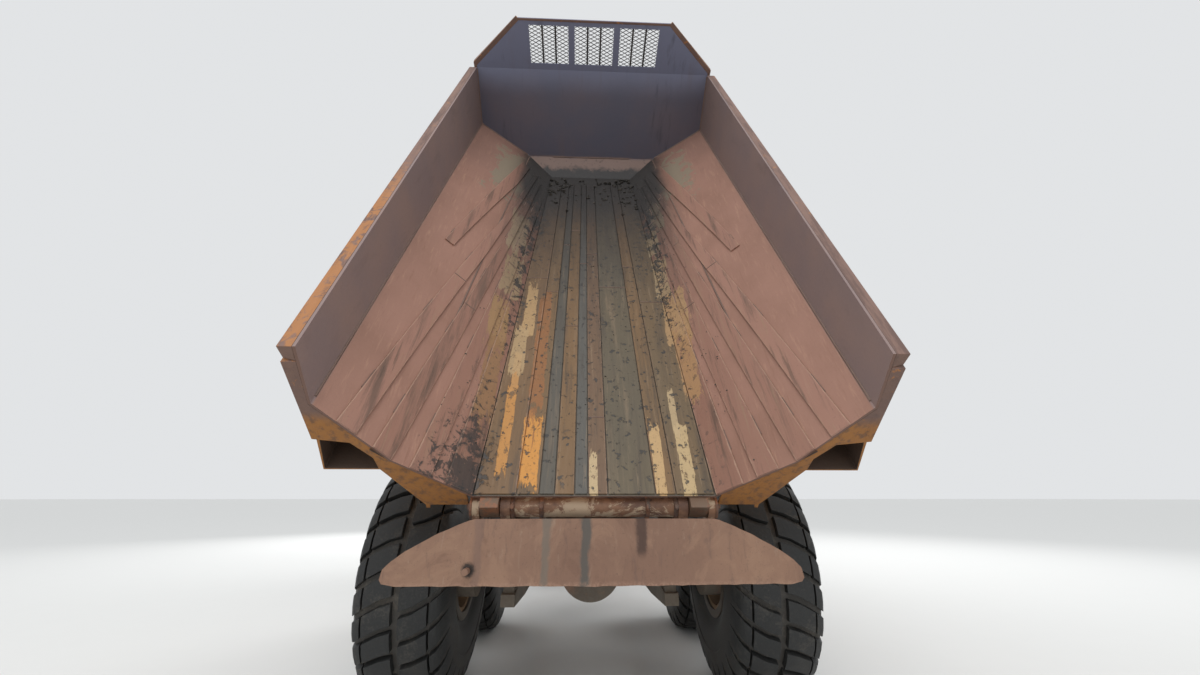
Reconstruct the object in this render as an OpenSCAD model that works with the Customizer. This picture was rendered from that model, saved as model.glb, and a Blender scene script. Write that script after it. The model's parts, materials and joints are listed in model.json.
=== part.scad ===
// Articulated dump truck with three axles and a tipping body, stored with the body raised.
// X is to the right, Y is forward, Z is up, and the ground is z = 0.

/* [Wheels] */
// Outer radius of a tyre, over its lugs
tyre_r = 790; // [740:5:810]
// Width of a tyre
tyre_w = 580; // [480:10:620]
// Radius of the bead seat
rim_r = 318; // [280:1:360]
// Half the distance between a pair of wheels
half_track = 1160; // [1120:5:1250]

/* [Axles] */
// Distance between the two rear axles
bogie = 1670; // [1660:5:1900]
// Distance from the middle axle to the front axle
wheelbase = 3950; // [3850:10:4400]
// Distance from the steering pivot to the front axle
pivot_to_axle = 1230; // [1150:10:1350]
// Radius of an axle tube
axle_r = 105; // [80:1:115]
// Radius of the bowl round a differential
diff_r = 225; // [180:5:240]

/* [Rear frame] */
// Distance from the rear axle back to the body's hinge
hinge_back = 1050; // [1000:10:1200]
// Height of the body's hinge
hinge_z = 1230; // [1220:5:1280]
// Height of the steering pivot's middle
hitch_z = 880; // [840:5:920]
// Thickness of a frame beam
beam_w = 100; // [70:5:110]
// Distance between the outer faces of the frame beams
frame_w = 960; // [900:10:980]
// Radius of the trunnion that the rear frame rolls on
trunnion_r = 150; // [120:5:160]

/* [Body] */
// Angle that the body is raised to
tip = 62; // [50:1:68]
// Height of the floor over the hinge
floor_rise = 120; // [115:1:140]
// Length of the flat floor
floor_len = 4110; // [3800:10:4300]
// Width of the floor at the rear
floor_rear_w = 1350; // [1250:10:1400]
// Width of the floor at the front
floor_front_w = 940; // [900:10:1100]
// Height of the rail over the hinge, at the front wall
rail_front = 1200; // [1100:5:1400]
// Height of the front wall's top over the hinge
headboard_top = 1676; // [1550:2:1800]
// Thickness of the body's plates
plate = 14; // [10:1:20]

/* [Tip cylinders] */
// Distance from the truck's middle to a tip cylinder
ram_x = 680; // [670:5:690]
// Radius of a tip cylinder's barrel
ram_r = 88; // [80:1:95]

/* [Tractor] */
// Distance from the front axle to the bumper's face
front_reach = 2550; // [2450:10:2700]
// Width of the cab
cab_w = 1500; // [1400:10:1600]
// Length of the cab
cab_len = 1480; // [1400:10:1560]
// Height of the cab's floor
cab_floor_z = 1700; // [1690:10:1800]
// Height of the cab's roof
cab_roof_z = 3330; // [3250:10:3450]
// Width of the hood
hood_w = 1300; // [1200:10:1400]

/* [Hidden] */
$fn = 72;
fit = 0.05; // radial clearance of a pin in its bore
gap = 6; // clearance between pieces that move past each other

// Places along the truck
rail_rear = [130, 1136]; // rear end of a rail, along and over the floor from the hinge
lamp_out = 30; // lamps ahead of the bumper's face
bed_far = rail_rear[1] * sin(tip) - rail_rear[0] * cos(tip); // behind the hinge, when raised
rear_axle_y = (hinge_back + bed_far - bogie - wheelbase - front_reach - lamp_out) / 2;
mid_axle_y = rear_axle_y + bogie;
front_axle_y = mid_axle_y + wheelbase;
pivot_y = front_axle_y - pivot_to_axle;
hinge_y = rear_axle_y - hinge_back;
axle_z = tyre_r;

// Body: inner corners of a side wall, each a straight line from the rear edge to the front wall
// columns: x, y, z at the rear edge, then x, y, z at the front wall
wall_lines = [
    [floor_rear_w / 2, 0, floor_rise, floor_front_w / 2, floor_len, floor_rise],
    [1030, 0, 480, 739, front_y(284), 284],
    [1304, 60, 847, 1272, front_y(633), 633],
    [1368, rail_rear[0], rail_rear[1], 1338, front_y(rail_front), rail_front],
];
function front_y(z) = floor_len + 205 + (z - 284) * 0.098; // face of the front wall
wall_seat = 1.6; // between the walls' front ends and the front wall
LAST = len(wall_lines) - 1;
wall_steps = 48;
rail_w = 66;
rail_h = 70;
rail_clear = 1.2; // between the wall's twisted face and what crosses it
strip_t = 16;
seat_gap = 0.3; // between pieces that sit on each other
rib_places = [19, 38]; // steps of the wall that carry an upright rib
rib_h = 60;

// Windows in the front wall's upper part
window_w = 404;
window_h = 366;
window_low = 60; // over the fold
window_pitch = 468;

// Body hinge
boss_r = 58;
hinge_pin_r = 38;
// columns: inner and outer x of the inner ear, the body's boss and the outer ear
ear_in = [475, 530];
boss_x = [536, 640];
ear_out = [646, 686];

// Tip cylinders, places in the side view
ram_foot = [mid_axle_y + 1280, 740];
ram_head = [2200, 20]; // on the body, from its hinge along and over the floor
ram_closed = norm([hinge_y + ram_head[0] - ram_foot[0], hinge_z + ram_head[1] - ram_foot[1]]);
ram_stage_r = 72;
ram_rod_r = 52;
ram_pin_r = 35;
ram_eye_r = 62;
ram_eye_w = 112;
ram_barrel = ram_closed - 230; // from the foot's pin to the barrel's mouth
ram_stage_end = ram_closed - 160; // mouth of the middle stage when closed
ram_stage = ram_barrel - 220;
ram_rod = ram_barrel - 120;
lug_t = 24;
lug_gap = 4; // between an eye's face and the lug beside it
ram_lugs = [ram_x - ram_eye_w / 2 - lug_gap - lug_t, ram_x + ram_eye_w / 2 + lug_gap];
ram_head_y = hinge_y + ram_head[0] * cos(tip) - ram_head[1] * sin(tip);
ram_head_z = hinge_z + ram_head[0] * sin(tip) + ram_head[1] * cos(tip);
ram_len = norm([ram_head_y - ram_foot[0], ram_head_z - ram_foot[1]]);
ram_angle = atan2(ram_head_z - ram_foot[1], ram_head_y - ram_foot[0]);
ram_draw = (ram_len - ram_closed) / 2; // how far each stage is drawn out

// Steering cylinders, places in plan from the pivot
steer_foot = [480, 1010];
steer_head = [310, -130];
steer_len = norm(steer_head - steer_foot);
steer_barrel_r = 52;
steer_rod_r = 30;
steer_barrel = 760;
steer_rod = 720;
steer_eye_r = 46;
steer_eye_h = 60;
steer_pin_r = 25;

// Shared shapes

function mix(a, b, t) = a + (b - a) * t;

module both() {
    children();
    mirror([1, 0, 0]) children();
}

// Bar along X between two x places
module bar_x(x0, x1, r) {
    translate([x0, 0, 0]) rotate([0, 90, 0]) cylinder(r = r, h = x1 - x0);
}

// Bar along Y between two y places
module bar_y(y0, y1, r) {
    translate([0, y1, 0]) rotate([90, 0, 0]) cylinder(r = r, h = y1 - y0);
}

// Outline in Y and Z, extruded along X between two x places
module plate_x(x0, x1, points) {
    translate([x0, 0, 0]) rotate([90, 0, 90]) linear_extrude(x1 - x0) polygon(points);
}

// Outline in X and Z, extruded forward from y
module plate_y(y, thick, points) {
    translate([0, y + thick, 0]) rotate([90, 0, 0]) linear_extrude(thick) polygon(points);
}

// Box from its low corner to its high corner
module block(low, high) {
    translate(low) cube(high - low);
}

// The body's own place: origin at the hinge, Y along the floor
module on_bed() {
    translate([0, hinge_y, hinge_z]) rotate([tip, 0, 0]) children();
}

// Closed rings of equal length joined in order, each ring an inner line and its outer line reversed
module loft(rings) {
    n = len(rings[0]);
    m = len(rings);
    sides = [for (j = [0:m - 2], i = [0:n - 1])
        let (a = j * n + i, b = j * n + (i + 1) % n)
        each [[a, b + n, b], [a, a + n, b + n]]];
    back = [for (i = [0:n / 2 - 2]) each [[n - 1 - i, i + 1, n - 2 - i], [n - 1 - i, i, i + 1]]];
    front = [for (f = back) [f[2], f[1], f[0]] + [1, 1, 1] * (m - 1) * n];
    polyhedron([for (r = rings) each r], [each sides, each back, each front]);
}

// Body walls

function wall_point(i, t) =
    let (c = wall_lines[i]) mix([c[0], c[1], c[2]], [c[3], c[4], c[5]], t);

// Outward direction in X and Z of the band above corner i
function band_normal(i, t) =
    let (d = wall_point(i + 1, t) - wall_point(i, t)) [d[2], 0, -d[0]] / norm([d[0], d[2]]);

// Outward offset of a corner, so that both bands beside it get the same thickness
function corner_out(i, t) =
    i == 0 ? [0, 0, -1 / abs(band_normal(0, t)[2])]
    : i == LAST ? [1 / band_normal(i - 1, t)[0], 0, 0]
    : let (a = band_normal(i - 1, t), b = band_normal(i, t)) (a + b) / (1 + a * b);

// Ring of the corners from low to high, between two offsets from the inner faces
function wall_ring(low, high, near, far, t, shift = 0) = [
    for (i = [low:high]) wall_point(i, t) + corner_out(i, t) * near + [0, shift, 0],
    for (i = [high:-1:low]) wall_point(i, t) + corner_out(i, t) * far + [0, shift, 0],
];

module wall_band(low, high, near, far, from = 0, to = wall_steps) {
    loft([for (j = [from:to]) wall_ring(low, high, near, far, j / wall_steps)]);
}

module bed_wall() {
    wall_band(0, LAST, 0, plate);
}

module bed_floor() {
    color("#8a6a55") on_bed()
        translate([0, 0, floor_rise - plate]) linear_extrude(plate) polygon([
            [-floor_rear_w / 2, 0], [floor_rear_w / 2, 0],
            [floor_front_w / 2, floor_len], [-floor_front_w / 2, floor_len],
        ]);
}

module bed_wall_right() {
    color("#8b7469") on_bed() bed_wall();
}

module bed_wall_left() {
    color("#8b7469") on_bed() mirror([1, 0, 0]) bed_wall();
}

module bed_headboard() {
    foot = wall_point(0, 1);
    knee = wall_point(1, 1);
    bend = wall_point(2, 1);
    rail = wall_point(3, 1);
    top_y = rail[1] - 95;
    top_x = 775;
    lean = atan2(rail[1] - knee[1], rail[2] - knee[2]);
    fold = atan2(rail[1] - top_y, headboard_top - rail[2]);
    band = atan2(knee[2] - foot[2], knee[1] - foot[1]);
    function up(z) = (z - knee[2]) / cos(lean);
    color("#3b4046") on_bed() translate([0, wall_seat, 0]) {
        // sloping band from the floor up to the front wall
        translate([0, foot[1], foot[2]]) rotate([band, 0, 0]) translate([0, 0, -plate])
            linear_extrude(plate) polygon([
                [-foot[0], 0], [foot[0], 0],
                [knee[0], (knee[1] - foot[1]) / cos(band)], [-knee[0], (knee[1] - foot[1]) / cos(band)],
            ]);
        // front wall up to the rails
        translate([0, knee[1], knee[2]]) rotate([-lean, 0, 0]) rotate([90, 0, 0])
            mirror([0, 0, 1]) linear_extrude(plate) polygon([
                [-knee[0], 0], [knee[0], 0], [bend[0], up(bend[2])], [rail[0] + plate, up(rail[2])],
                [-rail[0] - plate, up(rail[2])], [-bend[0], up(bend[2])],
            ]);
        // beam along the fold
        translate([0, rail[1], rail[2]]) block([-rail[0], 4, -70], [rail[0], 80, 10]);
        // upper part with three windows
        translate([0, rail[1], rail[2]]) rotate([fold, 0, 0]) rotate([90, 0, 0])
            mirror([0, 0, 1]) linear_extrude(plate) difference() {
                high = (headboard_top - rail[2]) / cos(fold);
                polygon([
                    [-rail[0] - plate, 0], [rail[0] + plate, 0], [rail[0] + plate, 40],
                    [top_x, high], [-top_x, high], [-rail[0] - plate, 40],
                ]);
                for (i = [-1:1])
                    translate([i * window_pitch - window_w / 2, window_low]) square([window_w, window_h]);
            }
    }
}
module headboard_mesh() {
    rail = wall_point(3, 1);
    fold = atan2(95, headboard_top - rail[2]);
    color("#2c3034") on_bed()
        translate([0, rail[1] + wall_seat, rail[2]]) rotate([fold, 0, 0]) {
            for (i = [-1:1]) translate([i * window_pitch - window_w / 2, plate, window_low])
                block([-12, 0.3, -12], [window_w + 12, 5, window_h + 12]);
            for (i = [-1:1], s = [1, 2])
                translate([i * window_pitch - window_w / 2 + s * window_w / 3, 0, window_low - 12])
                    block([-9, plate + 5, 0], [9, plate + 17, window_h + 24]);
        }
}

// Sills under the floor, with the bosses that turn on the hinge pins
module bed_sills() {
    low = floor_rise - plate - seat_gap - sill_h;
    color("#b5762a") on_bed() difference() {
        union() {
            both() {
                translate([0, 0, low]) linear_extrude(sill_h) polygon([
                    [boss_x[0], -60], [boss_x[1], -60], [470, floor_len - 20], [470 - 90, floor_len - 20],
                    [boss_x[0], 160],
                ]);
                bar_x(boss_x[0], boss_x[1], boss_r);
                translate([0, -boss_r, 0]) block([boss_x[0], 0, 0], [boss_x[1], boss_r * 2, low + 20]);
            }
            for (y = [420:620:floor_len - 200])
                block([-380, y, low + 30], [380, y + 70, low + sill_h]);
        }
        bar_x(-1000, 1000, hinge_pin_r + fit);
    }
}

// Ribs outside: the rear collar, the upright ribs, the rails and the cylinder lugs
module bed_ribs() {
    color("#c98a2e") on_bed() both() {
        wall_band(1, 2, plate + seat_gap, plate + 60, 0, 1);
        for (i = rib_places) upright_rib(i);
        rail();
        for (x = ram_lugs) ram_lug(x);
    }
}

// Rib from the slope's knee up to the rail
module upright_rib(step) {
    function ring(t) = let (
            drop = (rail_h + 2) / (wall_point(LAST, t)[2] - wall_point(LAST - 1, t)[2]),
            top = mix(wall_point(LAST, t), wall_point(LAST - 1, t), drop),
            side = corner_out(LAST, t)
        ) [
            for (i = [1, 2]) wall_point(i, t) + corner_out(i, t) * (plate + seat_gap),
            top + side * (plate + rail_clear), top + side * (plate + rib_h),
            for (i = [2, 1]) wall_point(i, t) + corner_out(i, t) * (plate + rib_h),
        ];
    loft([ring(step / wall_steps), ring((step + 1) / wall_steps)]);
}

// Square rail along the top edge, outside the wall
module rail() {
    function ring(t) = let (
            p = wall_point(LAST, t) + corner_out(LAST, t) * (plate + seat_gap),
            n = band_normal(LAST - 1, t),
            low = p + [n[2] / n[0] * rail_h + rail_clear, 0, -rail_h]
        ) [low, p, p + [rail_w, 0, 0], p + [rail_w, 0, -rail_h]];
    loft([for (j = [0:wall_steps]) ring(j / wall_steps)]);
}

// Lug under the slope for the eye of a tip cylinder's rod
module ram_lug(x) {
    difference() {
        union() {
            plate_x(x, x + lug_t, [
                [ram_head[0] - ram_eye_r, ram_head[1]], [ram_head[0] + ram_eye_r, ram_head[1]],
                [ram_head[0] + 150, 300], [ram_head[0] - 150, 300],
            ]);
            translate([0, ram_head[0], ram_head[1]]) bar_x(x, x + lug_t, ram_eye_r);
        }
        translate([0, ram_head[0], ram_head[1]]) bar_x(x - 1, x + lug_t + 1, ram_pin_r + fit);
        wall_band(0, 1, -400, plate + seat_gap, 21, 29);
    }
}

// Wear strips, laid in a fan over the floor and the slopes
module wear_strips() {
    color("#7d6a5c") on_bed() translate([0, 0, floor_rise + seat_gap])
        for (i = [-4:4]) linear_extrude(strip_t) polygon([
            [strip_x(i - 0.47, 0), 8], [strip_x(i + 0.47, 0), 8],
            [strip_x(i + 0.47, 0.95), floor_len * 0.95], [strip_x(i - 0.47, 0.95), floor_len * 0.95],
        ]);
}
function strip_x(i, t) = i * mix(floor_rear_w, floor_front_w, t) / 9.6;

// Rear unit

sill_h = 100;
frame_top = hinge_z + floor_rise - plate - sill_h - 10;
arch_z = axle_z + axle_r + 45; // underside of a beam over an axle
frame_low = axle_z - 30;
frame_front = mid_axle_y + 1750;
trunnion_end = pivot_y - 235;
bogie_y = rear_axle_y + bogie / 2;
bogie_shaft_r = 55;
bogie_shaft_z = 620;

module rear_frame() {
    out = frame_w / 2;
    ry = rear_axle_y;
    my = mid_axle_y;
    color("#4a4038") difference() {
        union() {
            both() {
                plate_x(out - beam_w, out, [
                    [hinge_y + 110, frame_top - 60], [hinge_y + 110, arch_z], [ry + 420, arch_z],
                    [ry + 620, frame_low], [my - 620, frame_low], [my - 420, arch_z], [my + 420, arch_z],
                    [my + 620, frame_low], [frame_front, frame_low], [frame_front, frame_top],
                    [hinge_y + 160, frame_top],
                ]);
                hinge_ears();
                ram_bracket();
                bogie_bracket();
            }
            // rear cross box and hinge tube
            block([-ear_out[1], hinge_y + 100, hinge_z - 240], [ear_out[1], hinge_y + 260, hinge_z - 80]);
            translate([0, hinge_y, hinge_z]) bar_x(-ear_in[0], ear_in[0], boss_r);
            // cross members
            for (y = [ry + 600, my + 560, my + 1550])
                block([-out + beam_w, y, arch_z + 30], [out - beam_w, y + 120, frame_top - 20]);
            // head with the trunnion
            hull() {
                block([-out, frame_front - 20, frame_low], [out, frame_front, frame_top]);
                translate([0, 0, hitch_z]) bar_y(frame_front + 370, frame_front + 400, trunnion_r + 50);
            }
            translate([0, 0, hitch_z]) bar_y(frame_front + 390, trunnion_end, trunnion_r);
        }
        // way through for the drive shaft
        translate([0, 0, hitch_z]) bar_y(frame_front - 30, pivot_y, 95);
    }
    color("#4a4038") both() {
        translate([0, hinge_y, hinge_z]) bar_x(ear_in[1] - 10, ear_out[1] + 12, hinge_pin_r);
        translate([0, ram_foot[0], ram_foot[1]]) bar_x(ram_lugs[0] - 8, ram_lugs[1] + lug_t + 8, ram_pin_r);
    }
}

module hinge_ears() {
    for (x = [ear_in, ear_out]) hull() {
        translate([0, hinge_y, hinge_z]) bar_x(x[0], x[1], boss_r + 12);
        block([x[0], hinge_y + 120, hinge_z - 240], [x[1], hinge_y + 240, hinge_z - 90]);
    }
}

module ram_bracket() {
    out = frame_w / 2;
    y = ram_foot[0];
    for (x = ram_lugs) {
        translate([0, y, ram_foot[1]]) bar_x(x, x + lug_t, 70);
        plate_x(x, x + lug_t, [
            [y - 69, ram_foot[1] + 10], [y + 40, 580], [y + 200, 580], [y + 200, 680], [y + 50, ram_foot[1] + 49],
        ]);
    }
    block([out - 20, y + 100, 580], [ram_lugs[1] + lug_t, y + 200, 620]);
    block([out - 20, y + 100, 580], [out, y + 200, 780]);
}

module bogie_bracket() {
    y = bogie_y;
    difference() {
        plate_x(frame_w / 2 - 70, frame_w / 2 - 10, [
            [y - 190, frame_low + 20], [y + 190, frame_low + 20], [y + 90, 550], [y - 90, 550],
        ]);
        translate([0, y, bogie_shaft_z]) bar_x(0, 600, bogie_shaft_r + seat_gap);
    }
}

module deflector_plate() {
    // half outline, x and height below the hinge
    outline = [
        for (p = [
            [677, 65], [850, 132], [995, 195], [1062, 252], [1092, 300], [1100, 348], [1085, 370],
            [1020, 380], [0, 386],
        ]) [p[0], hinge_z - p[1]]
    ];
    color("#9a7f78") {
        plate_y(hinge_y - 174, 12, [each outline, for (p = [len(outline) - 2:-1:0]) [-outline[p][0], outline[p][1]]]);
        for (x = [-625, -180, 120, 565])
            block([x, hinge_y - 163, hinge_z - 220], [x + 60, hinge_y + 100 - seat_gap, hinge_z - 160]);
    }
}

// Walking beams on their cross shaft
module bogie_beams() {
    y = bogie_y;
    r = bogie / 2;
    pad = axle_z - axle_r - seat_gap;
    color("#3f3a35") {
        both() {
            plate_x(540, 640, [
                [y - r - 130, 620], [y - r - 130, 540], [y - 250, 500], [y + 250, 500],
                [y + r + 130, 540], [y + r + 130, 620], [y + 240, 690], [y - 240, 690],
            ]);
            for (s = [-1, 1]) block([550, y + s * r - 90, 600], [630, y + s * r + 90, pad]);
        }
        translate([0, y, bogie_shaft_z]) bar_x(-541, 541, bogie_shaft_r);
    }
}

module axle(inner) {
    translate([0, 0, axle_z]) {
        both() {
            bar_x(0, half_track - 0.5, axle_r);
            bar_x(half_track - 330, half_track - 200, 200);
        }
        translate([0, -diff_r * 0.55, 0]) bar_y(0, diff_r * 1.1, diff_r);
        translate([0, 0, 0]) bar_y(inner[0], inner[1], 90);
    }
}

module tandem_axles() {
    color("#46413c") {
        translate([0, rear_axle_y, 0]) axle([0, 380]);
        translate([0, mid_axle_y, 0]) axle([-380, 420]);
    }
}

module rear_driveshaft() {
    color("#5a554f") {
        translate([0, 0, axle_z]) bar_y(rear_axle_y + 380 + seat_gap, mid_axle_y - 380 - seat_gap, 50);
        rise = hitch_z - axle_z;
        run = trunnion_end + 30 - mid_axle_y - 420;
        slope = atan2(rise, run);
        translate([0, mid_axle_y + 420 + seat_gap + 50 * sin(slope), axle_z]) rotate([slope, 0, 0])
            bar_y(0, norm([rise, run]), 50);
    }
}

// Tip cylinders: X along the cylinder from its foot
module on_rams(along) {
    for (x = [-ram_x, ram_x])
        translate([x, ram_foot[0], ram_foot[1]]) rotate([ram_angle, 0, 0]) translate([0, along, 0]) children();
}

module tip_barrels() {
    color("#50504c") on_rams(0) difference() {
        union() {
            bar_y(84, ram_barrel, ram_r);
            bar_y(0, 90, 50);
            bar_x(-ram_eye_w / 2, ram_eye_w / 2, ram_eye_r);
        }
        bar_x(-100, 100, ram_pin_r + fit);
        bar_y(120, ram_barrel - 60, ram_stage_r + 5);
        bar_y(120, ram_barrel + 1, ram_stage_r + fit);
    }
}

module tip_stages() {
    color("#b9bcc0") on_rams(ram_stage_end + ram_draw) difference() {
        bar_y(-ram_stage, 0, ram_stage_r);
        bar_y(-ram_stage + 30, -50, ram_rod_r + 4);
        bar_y(-ram_stage + 30, 1, ram_rod_r + fit);
    }
}

module tip_rods() {
    color("#c9ccd0") on_rams(ram_closed + 2 * ram_draw) difference() {
        union() {
            bar_y(-ram_rod, -40, ram_rod_r);
            bar_x(-ram_eye_w / 2, ram_eye_w / 2, ram_eye_r);
        }
        bar_x(-100, 100, ram_pin_r + fit);
    }
}

// Hitch between the two halves
module hitch() {
    color("#5b5148") translate([0, pivot_y, hitch_z]) {
        difference() {
            union() {
                translate([0, 0, -189]) cylinder(r = 100, h = 378);
                bar_y(-480, -200, trunnion_r + 62);
                hull() {
                    block([-100, -210, -150], [100, -201, 150]);
                    block([-70, -60, -120], [70, -50, 120]);
                }
                both() for (z = [-62, 34]) steer_lug(z);
            }
            bar_y(-500, -230, trunnion_r + fit);
            bar_y(-240, -130, 95);
        }
        translate([0, 0, -250]) cylinder(r = 50, h = 500);
    }
}

module steer_lug(z) {
    translate([0, 0, z]) linear_extrude(28) difference() {
        hull() {
            translate(steer_head) circle(r = 52);
            translate([60, -200]) square([60, 160]);
        }
        translate(steer_head) circle(r = steer_pin_r + fit);
    }
}

// Steering cylinders, each along its own line from the foot on the tractor
module on_steer(side, along) {
    v = steer_head - steer_foot;
    translate([side * steer_foot[0], pivot_y + steer_foot[1], hitch_z])
        rotate([0, 0, atan2(v[1], side * v[0]) - 90]) translate([0, along, 0]) children();
}

module steer_barrel(side) {
    color("#50504c") on_steer(side, 0) difference() {
        union() {
            bar_y(72, steer_barrel, steer_barrel_r);
            bar_y(0, 80, 28);
            translate([0, 0, -steer_eye_h / 2]) cylinder(r = steer_eye_r, h = steer_eye_h);
        }
        translate([0, 0, -100]) cylinder(r = steer_pin_r + fit, h = 200);
        bar_y(100, steer_barrel - 50, steer_rod_r + 10);
        bar_y(100, steer_barrel + 1, steer_rod_r + fit);
    }
}

module steer_rod(side) {
    color("#c9ccd0") on_steer(side, steer_len) difference() {
        union() {
            bar_y(-steer_rod, -20, steer_rod_r);
            translate([0, 0, -steer_eye_h / 2]) cylinder(r = steer_eye_r, h = steer_eye_h);
        }
        translate([0, 0, -100]) cylinder(r = steer_pin_r + fit, h = 200);
    }
}

// Wheels, built along X with the outer side towards +X
module wheel_at(y, side) {
    translate([side * half_track, y, axle_z]) mirror([side < 0 ? 1 : 0, 0, 0])
        rotate([0, 90, 0]) children();
}

module tyre() {
    h = tyre_w / 2;
    rotate_extrude() polygon([
        [rim_r, -h + 60], [rim_r + 60, -h + 35], [rim_r + 230, -h], [tyre_r - 130, -h + 12],
        [tyre_r - 45, -h + 55], [tyre_r, -h + 90], [tyre_r, h - 90], [tyre_r - 45, h - 55],
        [tyre_r - 130, h - 12], [rim_r + 230, h], [rim_r + 60, h - 35], [rim_r, h - 60],
    ]);
}

module rim() {
    h = tyre_w / 2;
    difference() {
        union() {
            rotate_extrude() polygon([
                [rim_r - 0.3, -h + 60], [rim_r - 0.3, h - 60], [rim_r - 24, h - 60],
                [rim_r - 50, h - 170], [rim_r - 50, -h + 60],
            ]);
            translate([0, 0, 60]) cylinder(r = rim_r - 40, h = 30);
            translate([0, 0, -60]) cylinder(r = 215, h = 121);
            translate([0, 0, 80]) cylinder(r = 190, h = 120);
            translate([0, 0, 199]) cylinder(r = 120, h = 50);
        }
        translate([0, 0, -61]) cylinder(r = axle_r + fit, h = 61);
    }
}

module tyre_at(y, side) {
    color("#2c2b2a") wheel_at(y, side) tyre();
}

module rim_at(y, side) {
    color("#c8892b") wheel_at(y, side) rim();
}

// Tractor

tractor_top = 1080;
tractor_low = 740;
tractor_arch = axle_z + axle_r + 30; // underside of a beam over the front axle
hood_hinge = [2370, 1000]; // ahead of the front axle, and height
hood_pin_r = 15;
engine_w = 590;

module tractor_frame() {
    color("#4a4038") difference() {
        union() {
            both() {
                difference() {
                    translate([0, 0, tractor_low]) linear_extrude(tractor_top - tractor_low) polygon([
                        [420, front_axle_y + front_reach - 230], [330, front_axle_y + front_reach - 230],
                        [330, pivot_y + 1170], [185, pivot_y + 820], [185, pivot_y + 420],
                        [275, pivot_y + 420], [275, pivot_y + 800], [420, pivot_y + 1150],
                    ]);
                    // arch over the axle
                    block([0, front_axle_y - 150, 0], [500, front_axle_y + 150, tractor_arch]);
                }
                steer_bracket();
                cab_posts();
                hood_ear();
            }
            for (z = [195, -245]) translate([0, 0, hitch_z + z]) linear_extrude(50) hull() {
                translate([0, pivot_y]) circle(r = 120);
                translate([-275, pivot_y + 440]) square([550, 100]);
            }
            block([-275, pivot_y + 420, hitch_z - 245], [275, pivot_y + 470, hitch_z + 245]);
            for (y = [pivot_y + 620, front_axle_y + front_reach - 360])
                block([-331, y, tractor_low + 20], [331, y + 90, tractor_low + 120]);
        }
        translate([0, pivot_y, 0]) cylinder(r = 50 + fit, h = 3000);
        translate([0, 0, hitch_z]) bar_y(pivot_y + 300, pivot_y + 500, 110);
    }
}

// Clevis for the foot of a steering cylinder, with its pin
module steer_bracket() {
    foot = [steer_foot[0], pivot_y + steer_foot[1]];
    for (z = [-60, steer_eye_h / 2 + 4]) translate([0, 0, hitch_z + z]) linear_extrude(26) hull() {
        translate(foot) circle(r = 55);
        translate([390, foot[1] - 20]) square([29, 90]);
    }
    translate([foot[0], foot[1], hitch_z - 70]) cylinder(r = steer_pin_r, h = 140);
}

module cab_posts() {
    for (y = cab_mounts)
        block([330, front_axle_y + y - 60, tractor_top - 20], [430, front_axle_y + y + 60, cab_floor_z - 80]);
}

module hood_ear() {
    y = front_axle_y + hood_hinge[0];
    block([330, y - 60, hood_hinge[1] - 28], [370, y, hood_hinge[1] + 28]);
    translate([0, y, hood_hinge[1]]) {
        bar_x(330, 370, 28);
        bar_x(340, 412, hood_pin_r);
    }
}

module front_axle() {
    color("#46413c") translate([0, front_axle_y, 0]) {
        axle([-380, 0]);
        both() block([340, -70, axle_z + 60], [410, 70, tractor_arch - seat_gap]);
    }
}

module engine() {
    w = engine_w / 2;
    color("#3c3c3a") translate([0, front_axle_y, 0]) {
        block([-w, 420, 930], [w, 1700, 1620]);
        block([-175, -640, 1060], [175, 421, 1460]);
        for (s = [-1, 1], y = [600, 1500])
            block([s * (w + 329.7) / 2 - (329.7 - w) / 2, y, 960], [s * (w + 329.7) / 2 + (329.7 - w) / 2, y + 90, 1040]);
        block([-480, 1880, tractor_top + seat_gap], [480, 2020, 1600]);
    }
}

// Cab: side outline in Y from the front axle and Z, with walls of one thickness
cab_back = -940;
cab_wall = 45;
cab_mounts = [cab_back + 200, cab_back + cab_len - 260];
function cab_outline(inset) = [
    [cab_back + inset, cab_floor_z + inset], [cab_back + cab_len - inset, cab_floor_z + inset],
    [cab_back + cab_len - inset, cab_floor_z + 620], [cab_back + cab_len - 190 - inset, cab_roof_z - inset],
    [cab_back + 60 + inset, cab_roof_z - inset], [cab_back + inset, cab_floor_z + 900],
];
door_y = [cab_back + 420, cab_back + 1240];

module cab_shell() {
    w = cab_w / 2;
    color("#c98a2e") translate([0, front_axle_y, 0]) difference() {
        plate_x(-w, w, cab_outline(0));
        plate_x(-w + cab_wall, w - cab_wall, cab_outline(cab_wall));
        // windscreen and rear window
        block([-w + 110, cab_back + cab_len - 300, cab_floor_z + 700], [w - 110, cab_back + cab_len + 20, cab_roof_z - 180]);
        block([-w + 130, cab_back - 20, cab_floor_z + 950], [w - 130, cab_back + 200, cab_roof_z - 180]);
        // door's opening on the left and windows on the right
        block([-w - 10, door_y[0], cab_floor_z + 60], [-w + 100, door_y[1], cab_roof_z - 110]);
        block([w - 100, door_y[0], cab_floor_z + 700], [w + 10, door_y[1], cab_roof_z - 180]);
        for (s = [-1, 1])
            block([s * (w - 20) - 60, cab_back + 120, cab_floor_z + 950], [s * (w - 20) + 60, door_y[0] - 90, cab_roof_z - 200]);
    }
    color("#c98a2e") translate([0, front_axle_y, 0]) cab_hinges();
    color("#3a3a38") translate([0, front_axle_y, 0])
        for (s = [-1, 1], y = cab_mounts)
            translate([s * 380, y, cab_floor_z - 80 + seat_gap]) cylinder(r = 60, h = 80 - seat_gap);
}

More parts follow.
